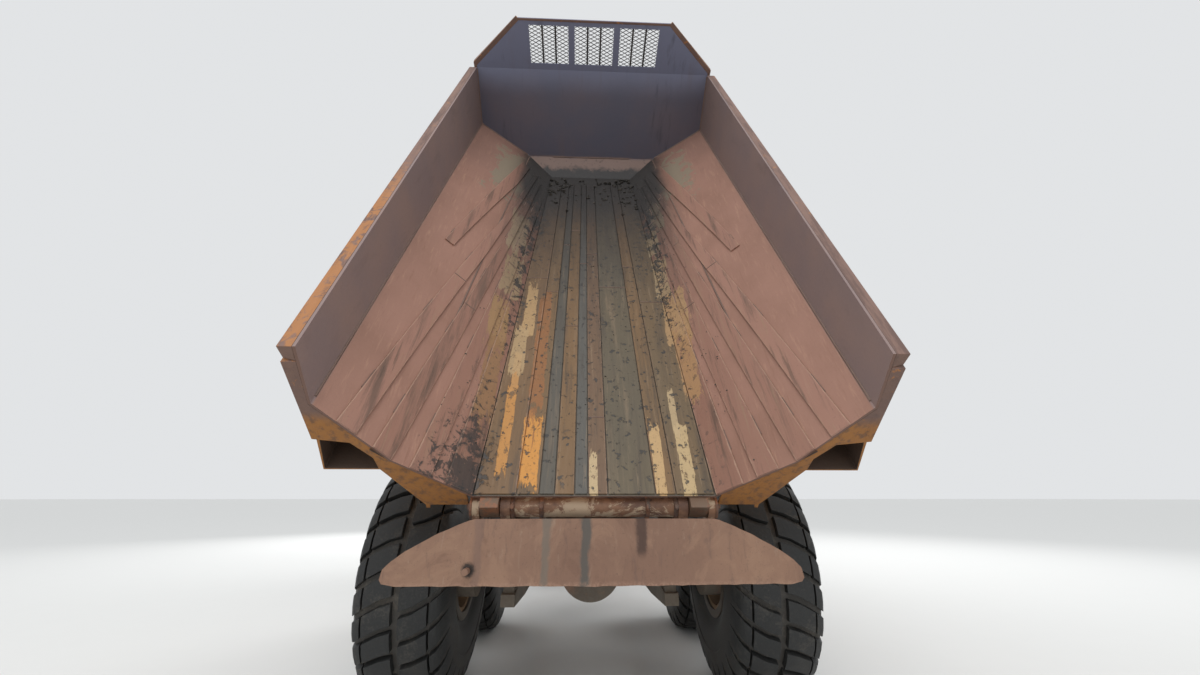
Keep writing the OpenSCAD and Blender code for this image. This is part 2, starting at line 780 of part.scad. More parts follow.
module cab_glass() {
    w = cab_w / 2;
    color("#9fb4bd", 0.4) translate([0, front_axle_y, 0]) intersection() {
        difference() {
            plate_x(-w + 14, w - 14, cab_outline(14));
            plate_x(-w + 20, w - 20, cab_outline(20));
        }
        union() {
            block([-w + 110.3, cab_back + cab_len - 300, cab_floor_z + 700.3], [w - 110.3, cab_back + cab_len + 20, cab_roof_z - 180.3]);
            block([-w + 130.3, cab_back - 20, cab_floor_z + 950.3], [w - 130.3, cab_back + 200, cab_roof_z - 180.3]);
            block([w - 100, door_y[0] + 0.3, cab_floor_z + 700.3], [w + 10, door_y[1] - 0.3, cab_roof_z - 180.3]);
            for (s = [-1, 1])
                block([s * (w - 20) - 60, cab_back + 120.3, cab_floor_z + 950.3], [s * (w - 20) + 60, door_y[0] - 90.3, cab_roof_z - 200.3]);
        }
    }
}

// Door hinge outside the cab's wall, with pins on the cab and sleeves on the door
door_hinge = [-cab_w / 2 - 22, door_y[0]];
door_knuckles = [cab_floor_z + 260, cab_floor_z + 1180];

module cab_hinges() {
    for (z = door_knuckles) translate([door_hinge[0], door_hinge[1], z]) {
        translate([0, 0, -60]) cylinder(r = 8, h = 130);
        translate([0, 0, -60]) cylinder(r = 16, h = 57);
        block([0, -50, -60], [22.5, 0, -3]);
    }
}

module cab_door() {
    w = cab_w / 2;
    lo = [-w, door_y[0] + gap, cab_floor_z + 60 + gap];
    hi = [-w + cab_wall, door_y[1] - gap, cab_roof_z - 110 - gap];
    color("#c98a2e") translate([0, front_axle_y, 0]) difference() {
        union() {
            block(lo, hi);
            for (z = door_knuckles) translate([door_hinge[0], door_hinge[1], z]) {
                cylinder(r = 16, h = 60);
                block([0, 0, 0], [21.5, 60, 60]);
                block([10, 0, 0], [24, 60, 60]);
            }
        }
        for (z = door_knuckles)
            translate([door_hinge[0], door_hinge[1], z - 10]) cylinder(r = 8 + fit, h = 200);
        block(lo + [-10, 80, 560], hi - [-10, 80, 80]);
    }
}

module door_glass() {
    w = cab_w / 2;
    lo = [-w + 14, door_y[0] + gap + 80.3, cab_floor_z + 66 + 560.3];
    hi = [-w + 20, door_y[1] - gap - 80.3, cab_roof_z - 116 - 80.3];
    color("#9fb4bd", 0.4) translate([0, front_axle_y, 0]) block(lo, hi);
}

module dashboard() {
    color("#2e2e2e") translate([0, front_axle_y, 0]) {
        plate_x(-500, 500, [
            [380, cab_floor_z + 300], [470, cab_floor_z + 300], [470, cab_floor_z + 640], [330, cab_floor_z + 600],
        ]);
        block([-120, 400, cab_floor_z + cab_wall + seat_gap], [120, 470, cab_floor_z + 300]);
        translate([0, 400, cab_floor_z + 500]) rotate([32, 0, 0]) {
            cylinder(r = 28, h = 260);
            translate([0, 0, 260]) {
                rotate_extrude() translate([205, 0]) circle(r = 15, $fn = 24);
                for (a = [90, 210, 330]) rotate([0, 0, a]) translate([0, -14, -8]) cube([200, 28, 14]);
                translate([0, 0, -12]) cylinder(r = 50, h = 30);
            }
        }
    }
}

module seat() {
    color("#33373c") translate([0, front_axle_y, 0]) {
        block([-170, -600, cab_floor_z + cab_wall + seat_gap], [170, -220, cab_floor_z + 300]);
        block([-250, -640, cab_floor_z + 300], [250, -140, cab_floor_z + 420]);
        plate_x(-240, 240, [
            [-640, cab_floor_z + 420], [-520, cab_floor_z + 420], [-600, cab_floor_z + 1060], [-710, cab_floor_z + 1060],
        ]);
    }
}

module mudguards() {
    color("#c98a2e") translate([0, front_axle_y, 0]) both() {
        plate_x(half_track - tyre_w / 2 - 20, half_track + tyre_w / 2, [
            [-900, 1180], [-870, 1180], [-640, 1650], [600, 1650], [900, 1300], [940, 1310], [630, 1680], [-670, 1680],
        ]);
        block([cab_w / 2 + seat_gap, -640, 1650], [860, 540, 1680]);
        block([cab_w / 2 + seat_gap, -640, 1650], [cab_w / 2 + 12, 540, cab_floor_z + 50]);
    }
}

module steps() {
    color("#3a3a38") translate([0, front_axle_y, 0]) both() {
        for (z = [560, 860]) block([tank_x[1] + seat_gap, 1000, z], [1380, 1240, z + 30]);
        for (x = [1000, 1360]) block([x, 1080, 500], [x + 20, 1160, 1180]);
        block([tank_x[1] + seat_gap, 960, 1150], [1400, 1240, 1180]);
        block([tank_x[1] + seat_gap, 960, 1000], [tank_x[1] + 30, 1240, 1180]);
    }
}

tank_x = [450, 900];
module tank() {
    color("#c98a2e") translate([0, front_axle_y, 0]) both() {
        block([tank_x[0], 960, 560], [tank_x[1], 1900, 1040]);
        for (y = [1060, 1700]) block([420 + seat_gap, y, 760], [tank_x[0] + 1, y + 80, 1000]);
    }
}

tow_eye = [90, 570]; // behind the bumper's face, and height
tow_eye_r = 25;
module bumper() {
    y = front_axle_y + front_reach;
    color("#3a3a38") {
        block([-1200, y - 160, 620], [1200, y, 900]);
        both() {
            block([330, y - 230 + seat_gap, 760], [420, y - 159, 900]);
            difference() {
                plate_x(355, 395, [[y - 150, 700], [y - 150, 560], [y - 110, 520], [y - 60, 520], [y - 30, 560], [y - 30, 700]]);
                translate([0, y - tow_eye[0], tow_eye[1]]) bar_x(340, 400, tow_eye_r);
            }
        }
    }
}

module exhaust() {
    color("#6b6560") translate([(cab_w / 2 + 860) / 2, front_axle_y + 400, 0]) {
        translate([0, 0, 1680 + seat_gap]) cylinder(r = 36, h = 400);
        translate([0, 0, 2000]) cylinder(r = 52, h = 800);
        translate([0, 0, 2780]) cylinder(r = 34, h = 520);
    }
}

module mirrors() {
    color("#2e2e2e") translate([0, front_axle_y, 0]) both() {
        translate([1250, 420, 2210]) block([-110, -20, 0], [110, 20, 420]);
        translate([0, 470, 2420]) bar_x(cab_w / 2 + seat_gap, 1250, 16);
        translate([0, 440, 2420]) block([1234, 0, -30], [1266, 20, 30]);
    }
}

module lamps() {
    y = front_axle_y + front_reach;
    color("#dddddd") both() {
        translate([900, y, 760]) bar_y(seat_gap, lamp_out, 90);
    }
}

// Hood, hinged at its low front corner
module hood() {
    w = hood_w / 2;
    profile = [[560, 1760], [1900, 1700], [2300, 1560], [2420, 1300], [2420, 1090]];
    inner = [[560, 1730], [1890, 1670], [2275, 1540], [2390, 1290], [2390, 1090]];
    color("#c98a2e") translate([0, front_axle_y, 0]) {
        plate_x(-w, w, [each profile, for (i = [4:-1:0]) inner[i]]);
        both() {
            plate_x(w - 30, w, [each inner, [560, 1090]]);
            difference() {
                union() {
                    plate_x(376, 406, [
                        [hood_hinge[0] - 22, hood_hinge[1]], [hood_hinge[0] + 22, hood_hinge[1]],
                        [2400, 1180], [2391, 1180], [2348, 1090],
                    ]);
                    translate([0, hood_hinge[0], hood_hinge[1]]) bar_x(376, 406, 28);
                }
                translate([0, hood_hinge[0], hood_hinge[1]]) bar_x(370, 420, hood_pin_r + fit);
            }
        }
    }
}

rear_frame();
deflector_plate();
bogie_beams();
tandem_axles();
rear_driveshaft();
bed_floor();
bed_wall_left();
bed_wall_right();
bed_headboard();
headboard_mesh();
bed_sills();
bed_ribs();
wear_strips();
tip_barrels();
tip_stages();
tip_rods();
hitch();
steer_barrel(-1);  // steer_barrel_left
steer_barrel(1);  // steer_barrel_right
steer_rod(-1);  // steer_rod_left
steer_rod(1);  // steer_rod_right
tractor_frame();
front_axle();
engine();
cab_shell();
cab_glass();
dashboard();
seat();
mudguards();
steps();
tank();
bumper();
exhaust();
mirrors();
lamps();
cab_door();
door_glass();
hood();
tyre_at(front_axle_y, -1);  // tyre_front_left
tyre_at(front_axle_y, 1);  // tyre_front_right
tyre_at(mid_axle_y, -1);  // tyre_middle_left
tyre_at(mid_axle_y, 1);  // tyre_middle_right
tyre_at(rear_axle_y, -1);  // tyre_rear_left
tyre_at(rear_axle_y, 1);  // tyre_rear_right
rim_at(front_axle_y, -1);  // rim_front_left
rim_at(front_axle_y, 1);  // rim_front_right
rim_at(mid_axle_y, -1);  // rim_middle_left
rim_at(mid_axle_y, 1);  // rim_middle_right
rim_at(rear_axle_y, -1);  // rim_rear_left
rim_at(rear_axle_y, 1);  // rim_rear_right
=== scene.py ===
import json
import math
import random

import bmesh
import bpy
from mathutils import Matrix, Vector, noise


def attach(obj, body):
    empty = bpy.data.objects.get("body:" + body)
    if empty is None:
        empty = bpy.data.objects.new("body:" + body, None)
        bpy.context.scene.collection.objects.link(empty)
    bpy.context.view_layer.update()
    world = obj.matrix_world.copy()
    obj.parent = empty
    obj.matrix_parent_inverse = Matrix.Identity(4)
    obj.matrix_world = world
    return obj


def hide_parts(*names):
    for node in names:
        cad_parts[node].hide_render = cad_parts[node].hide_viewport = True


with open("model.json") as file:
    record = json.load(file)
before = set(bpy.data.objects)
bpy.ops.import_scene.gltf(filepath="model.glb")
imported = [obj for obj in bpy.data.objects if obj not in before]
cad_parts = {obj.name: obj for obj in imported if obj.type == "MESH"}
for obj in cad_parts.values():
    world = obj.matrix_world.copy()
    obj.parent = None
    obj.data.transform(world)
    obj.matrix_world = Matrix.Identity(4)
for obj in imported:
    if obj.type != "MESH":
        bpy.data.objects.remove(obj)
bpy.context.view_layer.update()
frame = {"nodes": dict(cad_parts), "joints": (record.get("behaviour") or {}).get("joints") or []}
print("stage: frame loaded,", len(frame["nodes"]), "CAD nodes")

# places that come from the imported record

joints = {j["name"]: j for j in frame["joints"]}
hinge = Vector(joints["tip"]["pos_m"])
tipAngle = math.radians(-joints["tip"]["range_deg"][0])
bedPlace = Matrix.Translation(hinge) @ Matrix.Rotation(tipAngle, 4, "X")
bedUp = (0.0, -math.sin(tipAngle), math.cos(tipAngle))
bedRear = (0.0, -math.cos(tipAngle), -math.sin(tipAngle))
wheels = {n[:-len("_wheel_spin")]: Vector(j["pos_m"]) for n, j in joints.items() if n.endswith("_wheel_spin")}
frontY = wheels["front_left"].y

# the body's inner corner lines in its own metres: x, along the floor from the hinge, over the hinge
bed = {"plate": 0.014, "length": 4.11, "rise": 0.12, "floorRear": 0.675, "floorFront": 0.47,
       "railWidth": 0.066, "railHeight": 0.07,
       # front wall: its lean, gap to the walls, foot, and the windows' part with its half width and lean back
       "frontLean": 0.098, "frontGap": 0.0007, "frontFoot": 0.284, "frontTop": 1.676, "topHalf": 0.775,
       "topBack": 0.095}
burntHole = (-0.655, 0.925)  # x and height of the hole in the deflector


def frontFace(z):
    return bed["length"] + 0.205 + (z - bed["frontFoot"]) * bed["frontLean"]


wallLines = [
    (Vector((bed["floorRear"], 0, bed["rise"])), Vector((bed["floorFront"], bed["length"], bed["rise"]))),
    (Vector((1.030, 0, 0.480)), Vector((0.739, frontFace(bed["frontFoot"]), bed["frontFoot"]))),
    (Vector((1.304, 0.060, 0.847)), Vector((1.272, frontFace(0.633), 0.633))),
    (Vector((1.288, 0.130, 1.136)), Vector((1.258, frontFace(1.2), 1.2))),
]


def wallPoint(share, t, lift=0.0, side=1):
    # share counts corners up the wall, t runs from the rear edge to the front wall, lift is inwards
    i = min(int(share), 2)
    low, high = (wallLines[k][0].lerp(wallLines[k][1], t) for k in (i, i + 1))
    run = (high - low).normalized()
    point = low.lerp(high, share - i) + Vector((-run.z, 0, run.x)).normalized() * lift
    return Vector((point.x * side, point.y, point.z))


def onBed(x, along, over):
    return bedPlace @ Vector((x, along, over))


def outward(i, t):
    run = wallLines[i + 1][0].lerp(wallLines[i + 1][1], t) - wallLines[i][0].lerp(wallLines[i][1], t)
    return Vector((run.z, 0, -run.x)).normalized()


def cornerOut(i, t):
    # outward step of a corner, so that both bands beside it get the same thickness
    if i == 0:
        return Vector((0, 0, -1 / abs(outward(0, t).z)))
    if i == 3:
        return Vector((1 / outward(2, t).x, 0, 0))
    a, b = outward(i - 1, t), outward(i, t)
    return (a + b) / (1 + a.dot(b))


def wallAt(share, t, lift=0.0):
    # place outside a wall at a share between two corners
    i = min(int(share), 2)
    low, high = (wallLines[k][0].lerp(wallLines[k][1], t) + cornerOut(k, t) * lift for k in (i, i + 1))
    return low.lerp(high, share - i)


# shader maths


def srgb(r, g, b):
    return tuple(((c / 255 + 0.055) / 1.055) ** 2.4 if c > 10 else c / 255 / 12.92 for c in (r, g, b)) + (1.0,)


class Wire:
    # one socket; + - * and abs on it add Math nodes
    def __init__(self, recipe, socket):
        self.recipe, self.socket = recipe, socket

    def maths(self, operation, a, b=0.0):
        return self.recipe.node("ShaderNodeMath", {"operation": operation}, {0: a, 1: b})

    def __add__(self, other): return self.maths("ADD", self, other)
    def __radd__(self, other): return self.maths("ADD", other, self)
    def __sub__(self, other): return self.maths("SUBTRACT", self, other)
    def __rsub__(self, other): return self.maths("SUBTRACT", other, self)
    def __mul__(self, other): return self.maths("MULTIPLY", self, other)
    def __rmul__(self, other): return self.maths("MULTIPLY", other, self)
    def __abs__(self): return self.maths("ABSOLUTE", self)

    def least(self, other): return self.maths("MINIMUM", self, other)
    def most(self, other): return self.maths("MAXIMUM", self, other)

    def ramp(self, low, high):
        # 0 below low, 1 above high, smooth between; low may be the larger one
        return self.recipe.node("ShaderNodeMapRange", {"interpolation_type": "SMOOTHSTEP"},
                                {"Value": self, "From Min": low, "From Max": high})


class Recipe:
    def __init__(self, name, coords=None):
        self.material = bpy.data.materials.new(name)
        self.material.use_nodes = True
        self.tree = self.material.node_tree
        self.tree.nodes.clear()
        self.output = self.tree.nodes.new("ShaderNodeOutputMaterial")
        texture = self.tree.nodes.new("ShaderNodeTexCoord")
        self.object = Wire(self, texture.outputs["Object"])
        self.normal = Wire(self, texture.outputs["Normal"])
        self.at = self.object
        if coords == "bed":  # x across, y along the floor from the hinge, z over the hinge
            turned = {"Location": tuple(hinge), "Rotation": (tipAngle, 0, 0)}
            self.at = self.node("ShaderNodeMapping", {"vector_type": "TEXTURE"}, {"Vector": self.object, **turned})
        self.x, self.y, self.z = self.split(self.at)

    def node(self, kind, settings=None, values=None, out=0):
        made = self.tree.nodes.new(kind)
        for key, value in (settings or {}).items():
            if key == "stops":
                ends = made.color_ramp.elements
                for i, (place, colour) in enumerate(value):
                    stop = ends[i] if i < 2 else ends.new(place)
                    stop.position, stop.color = place, srgb(*colour)
            else:
                setattr(made, key, value)
        for key, value in (values or {}).items():
            if isinstance(value, Wire):
                self.tree.links.new(value.socket, made.inputs[key])
            else:
                made.inputs[key].default_value = value
        return Wire(self, made.outputs[out])

    def split(self, vector):
        made = self.tree.nodes.new("ShaderNodeSeparateXYZ")
        self.tree.links.new(vector.socket, made.inputs[0])
        return [Wire(self, s) for s in made.outputs]

    def noise(self, scale, detail=4.0, rough=0.55, stretch=(1, 1, 1), shift=(0, 0, 0), bend=0.0, at=None):
        place = self.node("ShaderNodeMapping", {"vector_type": "POINT"},
                          {"Vector": at or self.at, "Scale": stretch, "Location": shift})
        return self.node("ShaderNodeTexNoise", None,
                         {"Vector": place, "Scale": scale, "Detail": detail, "Roughness": rough, "Distortion": bend})

    def turned(self, angles, stretch):
        return self.node("ShaderNodeMapping", {"vector_type": "POINT"},
                         {"Vector": self.at, "Rotation": angles, "Scale": stretch})

    def facing(self, direction):
        return self.node("ShaderNodeVectorMath", {"operation": "DOT_PRODUCT"}, {0: self.normal, 1: direction}, "Value")

    def mix(self, share, a, b):
        # a fixed colour is given as 0 to 255
        a, b = (srgb(*c) if isinstance(c, tuple) else c for c in (a, b))
        return self.node("ShaderNodeMix", {"data_type": "RGBA"}, {0: share, 6: a, 7: b}, out=2)

    def over(self, share, tint):
        # another layer on the colour so far
        self.colour = self.mix(share, self.colour, tint)

    def blendValue(self, share, a, b):
        return self.node("ShaderNodeMix", {"data_type": "FLOAT"}, {0: share, 2: a, 3: b}, out=0)

    def attribute(self, name):
        return self.node("ShaderNodeAttribute", {"attribute_name": name}, None, out="Fac")

    def bump(self, height, strength=0.3, distance=0.004):
        return self.node("ShaderNodeBump", None, {"Height": height, "Strength": strength, "Distance": distance})

    def finish(self, rough, normal=None, metal=0.0, **other):
        values = {"Base Color": self.colour, "Roughness": rough, "Metallic": metal}
        if normal:
            values["Normal"] = normal
        values.update({k.replace("_", " "): v for k, v in other.items()})
        shader = self.node("ShaderNodeBsdfPrincipled", None, values)
        self.tree.links.new(shader.socket, self.output.inputs["Surface"])
        return self.material


# finishes

rustLook = {"pale": (160, 118, 96), "orange": (152, 96, 62), "dark": (84, 57, 46)}
paintLook = {"fresh": (196, 134, 46), "faded": (184, 134, 70), "chalk": (200, 180, 146)}
mudLook = {"wet": (44, 44, 45), "dry": (118, 106, 93), "dust": (146, 138, 126)}


def dirtFrom(r, low, high, amount=0.8):
    # dust and mud that gets thicker towards the ground
    patches = r.noise(3.0, 6, 0.6)
    return (r.split(r.object)[2] + (patches - 0.5) * 0.9).ramp(high, low) * amount


def rustColour(r, scale=6.0):
    broad, fine = r.noise(scale, 6, 0.65), r.noise(scale * 9, 5, 0.7)
    colour = r.mix(broad.ramp(0.35, 0.68), rustLook["orange"], rustLook["dark"])
    return r.mix((fine - 0.5).ramp(0.0, 0.35) * 0.5, colour, rustLook["pale"])


def wornPaint(r, worn, broad):
    return r.mix(worn, r.mix(broad, paintLook["fresh"], paintLook["faded"]), rustColour(r))


def paintedSteel(name, fresh, faded, wear=0.5, dirtHigh=1.2, gloss=0.42):
    r = Recipe(name)
    fine = r.noise(70, 4, 0.6)
    worn = r.noise(9, 9, 0.72, bend=0.6) + (r.noise(1.3, 3) - 0.5) * 0.35
    chipped = worn.ramp(0.74 - 0.14 * wear, 0.77 - 0.14 * wear)
    halo = worn.ramp(0.68 - 0.14 * wear, 0.77 - 0.14 * wear)
    runs = r.noise(7, 5, 0.6, stretch=(1, 1, 0.12)).ramp(0.58, 0.8) * 0.35
    r.colour = r.mix(r.noise(0.9, 3).ramp(0.3, 0.7), fresh, faded)
    r.over((fine - 0.4) * 0.18, paintLook["chalk"])
    r.over((runs + halo * 0.55).least(1.0), rustLook["orange"])
    r.over(chipped, rustColour(r))
    dirt = dirtFrom(r, 0.2, dirtHigh)
    r.over(dirt, mudLook["dry"])
    rough = r.blendValue((chipped + dirt).least(1.0), gloss, 0.86)
    height = (1 - chipped) * 0.5 + fine * 0.08 + dirt * r.noise(40, 5) * 0.5
    return r.finish(rough, r.bump(height, 0.5, 0.003))


def darkSteel(name, base, wear=0.35, dirtHigh=1.1, hingeTraces=False):
    r = Recipe(name)
    fine, broad = r.noise(45, 6, 0.65), r.noise(4, 5)
    rusty = (r.noise(11, 8, 0.7) + (broad - 0.5) * 0.4).ramp(0.66 - 0.2 * wear, 0.72 - 0.1 * wear)
    r.colour = r.mix(broad.ramp(0.35, 0.7) * 0.5, base, mudLook["dry"])
    r.over(rusty * 0.85, rustColour(r))
    dirt = dirtFrom(r, 0.3, dirtHigh, 0.9)
    r.over(dirt, r.mix(fine, mudLook["dry"], mudLook["dust"]))
    if hingeTraces:
        axis = r.node("ShaderNodeVectorMath", {"operation": "MULTIPLY"}, {0: r.at, 1: (0, 1, 1)})
        away = r.node("ShaderNodeVectorMath", {"operation": "DISTANCE"}, {0: axis, 1: (0, hinge.y, hinge.z)}, "Value")
        near = (away + (broad - 0.5) * 0.03).ramp(0.125, 0.085)
        traces = r.noise(8, 8, 0.72, stretch=(0.6, 1, 1), shift=(1, 0, 0), bend=0.5)
        worn = r.mix(r.noise(5, 6, 0.7).ramp(0.4, 0.65), (136, 100, 76), (98, 70, 56))
        worn = r.mix(traces.ramp(0.51, 0.56) * 0.8, worn, (184, 162, 136))
        worn = r.mix(traces.ramp(0.40, 0.36) * 0.8, worn, (52, 42, 38))
        r.over(near, worn)
    return r.finish(r.blendValue(dirt, 0.62, 0.92), r.bump(fine * 0.5 + dirt * fine, 0.55, 0.004))


# patches of old paint and filler that the load has not scraped off
# x, along the floor, half width, half length, colour
oldPaint = [
    # left: bright yellow, orange brown over it, the next strip's yellow, cream, ochre over the fold, primer
    (-0.385, 0.27, 0.058, 0.28, (212, 146, 64)), (-0.385, 1.17, 0.050, 0.62, (146, 96, 54)),
    (-0.545, 0.42, 0.034, 0.36, (196, 138, 70)), (-0.540, 0.92, 0.026, 0.22, (190, 140, 82)),
    (-0.500, 1.62, 0.048, 0.34, (186, 152, 106)), (-0.545, 1.12, 0.056, 0.24, (176, 148, 108)),
    (-0.690, 2.62, 0.080, 0.30, (166, 146, 118)), (-0.680, 1.95, 0.075, 0.28, (160, 138, 106)),
    (-0.710, 1.38, 0.065, 0.26, (158, 126, 86)), (-0.700, 0.82, 0.055, 0.34, (146, 112, 78)),
    # middle and right
    (-0.010, 0.13, 0.026, 0.15, (196, 172, 132)), (0.375, 0.22, 0.034, 0.28, (198, 164, 116)),
    (0.540, 0.20, 0.042, 0.28, (196, 170, 126)), (0.515, 0.62, 0.022, 0.22, (184, 160, 122)),
    (0.580, 2.58, 0.050, 0.22, (176, 156, 122)), (0.600, 2.02, 0.058, 0.30, (170, 146, 110)),
    (0.650, 1.50, 0.085, 0.30, (174, 140, 98)), (0.665, 0.98, 0.055, 0.30, (168, 130, 88)),
    (0.640, 3.05, 0.070, 0.30, (150, 136, 112)),
]


def addPatches(r, grain):
    ragged = (r.noise(9, 8, 0.72, stretch=(1.6, 0.45, 1.6), bend=0.7) - 0.5) * 2.4
    worn = r.noise(24, 8, 0.74, stretch=(1.2, 0.5, 1.2), shift=(5, 3, 0)).ramp(0.62, 0.57)
    covered = None
    for x, along, halfWide, halfLong, tint in oldPaint:
        reach = (abs(r.x - x) * (1 / halfWide) + ragged * 0.45).most(abs(r.y - along) * (1 / halfLong) + ragged * 1.1)
        inside = reach.ramp(1.0, 0.9) * worn
        r.over(inside * (0.72 + grain * 0.2), r.mix(grain.ramp(0.5, 0.75) * 0.5, tint, (112, 92, 70)))
        covered = inside if covered is None else covered.most(inside)
    return covered


def addMudAndPaintedShade(r, grain):
    # black mud at the front wall, along the folds, at the left rear corner and in specks, and painted shade that
    # darkens the middle of the floor towards the front wall
    ragged = (r.noise(5, 8, 0.72) - 0.5) * 1.6
    clots = r.noise(13, 9, 0.76, shift=(3, 1, 0), bend=0.6)
    fold = abs(abs(r.x) - (0.70 - r.y * 0.045))
    specks = r.noise(27, 5, 0.6).ramp(0.60, 0.63) * (r.noise(2.2, 4) - 0.25).ramp(0.0, 0.2)
    specks = specks * (0.8 - abs(r.x)).ramp(0.0, 0.2)
    front = (r.y + ragged * 0.4).ramp(2.75, 3.65) * (0.82 - abs(r.x) + ragged * 0.10).ramp(0.0, 0.12)
    along = (clots + (0.10 - fold) * 1.1 + (r.y - 3.0) * 0.05).ramp(0.55, 0.58) * (r.y + ragged * 0.3).ramp(0.7, 1.5)
    corner = (clots + 0.10 - abs(r.x + 0.735) * 0.9 - (r.y - 0.15) * 0.22).ramp(0.50, 0.56)
    corner = corner * (-1 * r.x).ramp(0.52, 0.62)
    flecks = (r.noise(3.1, 8, 0.74, shift=(7, 2, 0), bend=0.8) - abs(r.x) * 0.09).ramp(0.585, 0.62)
    flecks = flecks * (1.15 - abs(r.x)).ramp(0.0, 0.5)
    mud = (specks * 0.85 + front * 0.96 + along * 0.9 + corner * 0.86 + flecks * 0.4).least(1.0)
    # painted shade: the middle of the floor darkens towards the front wall
    shade = (r.y + ragged * 0.5).ramp(1.0, 3.5) * (0.95 - abs(r.x)).ramp(0.0, 0.3)
    r.over(shade * 0.8, (50, 45, 42))
    r.over(mud, r.mix(grain, mudLook["wet"], (64, 60, 57)))
    return mud


def bedPlateSteel(name):
    # bare rust inside, paint outside
    r = Recipe(name, "bed")
    rear, front = wallLines[2]
    fold = rear.z - r.y * ((rear.z - front.z) / front.y)
    upright = (r.z - fold + 0.004).ramp(-0.006, 0.006)
    grain, broad = r.noise(60, 6, 0.7), r.noise(2.2, 5)
    brushed = r.noise(16, 7, 0.6, stretch=(1.0, 0.16, 0.5), bend=0.3)
    scratches = r.noise(34, 9, 0.72, at=r.turned((0.7, 0.25, 0.5), (1.0, 0.12, 1.0)))
    crossed = r.noise(46, 8, 0.7, at=r.turned((-0.5, 0.4, -0.6), (1.0, 0.1, 1.0)))
    wall = r.mix(broad.ramp(0.3, 0.7), (132, 114, 112), (142, 119, 112))
    wall = r.mix(brushed.ramp(0.52, 0.75) * 0.4, wall, (112, 95, 92))
    wall = r.mix(scratches.ramp(0.58, 0.72) * 0.35, wall, (152, 126, 112))
    slope = r.mix(broad.ramp(0.3, 0.75), (156, 117, 101), (143, 106, 90))
    slope = r.mix(scratches.ramp(0.52, 0.7) * 0.5, slope, (180, 140, 118))
    slope = r.mix(crossed.ramp(0.55, 0.72) * 0.4, slope, (128, 90, 72))
    slope = r.mix(brushed.ramp(0.58, 0.8) * 0.45, slope, (120, 88, 76))
    floorMask = (0.135 - r.z).ramp(-0.004, 0.004)
    r.colour = r.mix(upright, slope, wall)
    r.over(floorMask, r.mix(brushed, (90, 86, 80), (106, 92, 76)))
    # painted shade: the walls and the floor darken towards the front wall
    near = (r.y + (r.noise(1.6, 4) - 0.5) * 1.2).ramp(2.6, 4.3)
    r.over(near * 0.3, (88, 76, 76))
    primerEdge = r.noise(7, 9, 0.72, bend=1.0)
    reach = (abs(abs(r.x) - 0.88) * 6.0).most(abs(r.y - 3.62) * 1.9)
    primer = (reach + (primerEdge - 0.5) * 4.2).ramp(0.84, 0.76) * (1 - upright)
    r.over(primer * 0.9, r.mix(grain, (118, 107, 92), (148, 137, 116)))
    r.over((grain - 0.5).ramp(0.1, 0.3) * 0.35, (92, 68, 62))
    addPatches(r, grain)
    mud = addMudAndPaintedShade(r, grain)
    # outside faces turn away from the middle or down
    outward = (r.x * r.split(r.normal)[0]).ramp(0.02, 0.06).most(r.facing(bedUp).ramp(-0.2, -0.4))
    chips = r.noise(7, 9, 0.72, bend=0.5) + (broad - 0.5) * 0.3
    outside = wornPaint(r, chips.ramp(0.55, 0.6), broad)
    outside = r.mix(r.noise(6, 5, 0.6, stretch=(1, 0.15, 1)).ramp(0.5, 0.75) * 0.45, outside, mudLook["dry"])
    r.over(outward, outside)
    r.over(r.facing(bedRear).ramp(0.5, 0.7), r.mix(grain, (96, 72, 62), (122, 90, 76)))
    height = grain * 0.4 + brushed * 0.5 + scratches * 0.3 + primer * 0.5 + mud * grain
    return r.finish(r.blendValue(grain, 0.5, 0.78), r.bump(height, 0.45, 0.004))


def stripSteel(name):
    # each strip has its own tone: 0 rust, then brown, ochre, olive and grey towards 1
    r = Recipe(name, "bed")
    grain = r.noise(50, 6, 0.7)
    along = r.noise(13, 8, 0.68, stretch=(1.0, 0.07, 1.0), bend=0.2)
    scratches = r.noise(34, 9, 0.72, at=r.turned((0.7, 0.25, 0.5), (1.0, 0.12, 1.0)))
    tone = r.attribute("tone") + (r.noise(1.3, 5) - 0.5) * 0.16
    r.colour = r.node("ShaderNodeValToRGB", {"stops": [
        (0.0, (156, 116, 100)), (1.0, (88, 86, 81)), (0.22, (138, 100, 84)), (0.42, (108, 84, 64)),
        (0.56, (120, 92, 60)), (0.7, (97, 86, 67)), (0.85, (86, 81, 72))]}, {"Fac": tone})
    fibres = r.noise(30, 9, 0.76, stretch=(1.0, 0.05, 1.0), shift=(2, 8, 0))
    r.over(along.ramp(0.5, 0.68) * 0.6, (74, 64, 55))
    r.over(fibres.ramp(0.54, 0.64) * 0.5, (68, 58, 48))
    r.over(fibres.ramp(0.44, 0.36) * 0.35, (150, 128, 102))
    r.over(along.ramp(0.46, 0.3) * 0.3, (150, 126, 100))
    r.over(scratches.ramp(0.55, 0.72) * 0.4 * (0.4 - tone).ramp(0.0, 0.3), (166, 132, 114))
    r.over((grain - 0.5).ramp(0.08, 0.3) * 0.5, (74, 58, 50))
    patched = addPatches(r, grain)
    rim = (r.attribute("rim") + (r.noise(20, 5) - 0.5) * 0.5).ramp(0.80, 0.98) * (0.4 - tone).ramp(-0.4, 0.2)
    r.over(rim * 0.6, (178, 146, 126))
    mud = addMudAndPaintedShade(r, grain)
    height = grain * 0.35 + along * 0.5 + mud * r.noise(35, 6) * 1.4 + patched * 0.15
    return r.finish(r.blendValue(mud, 0.6, 0.5), r.bump(height, 0.6, 0.005))


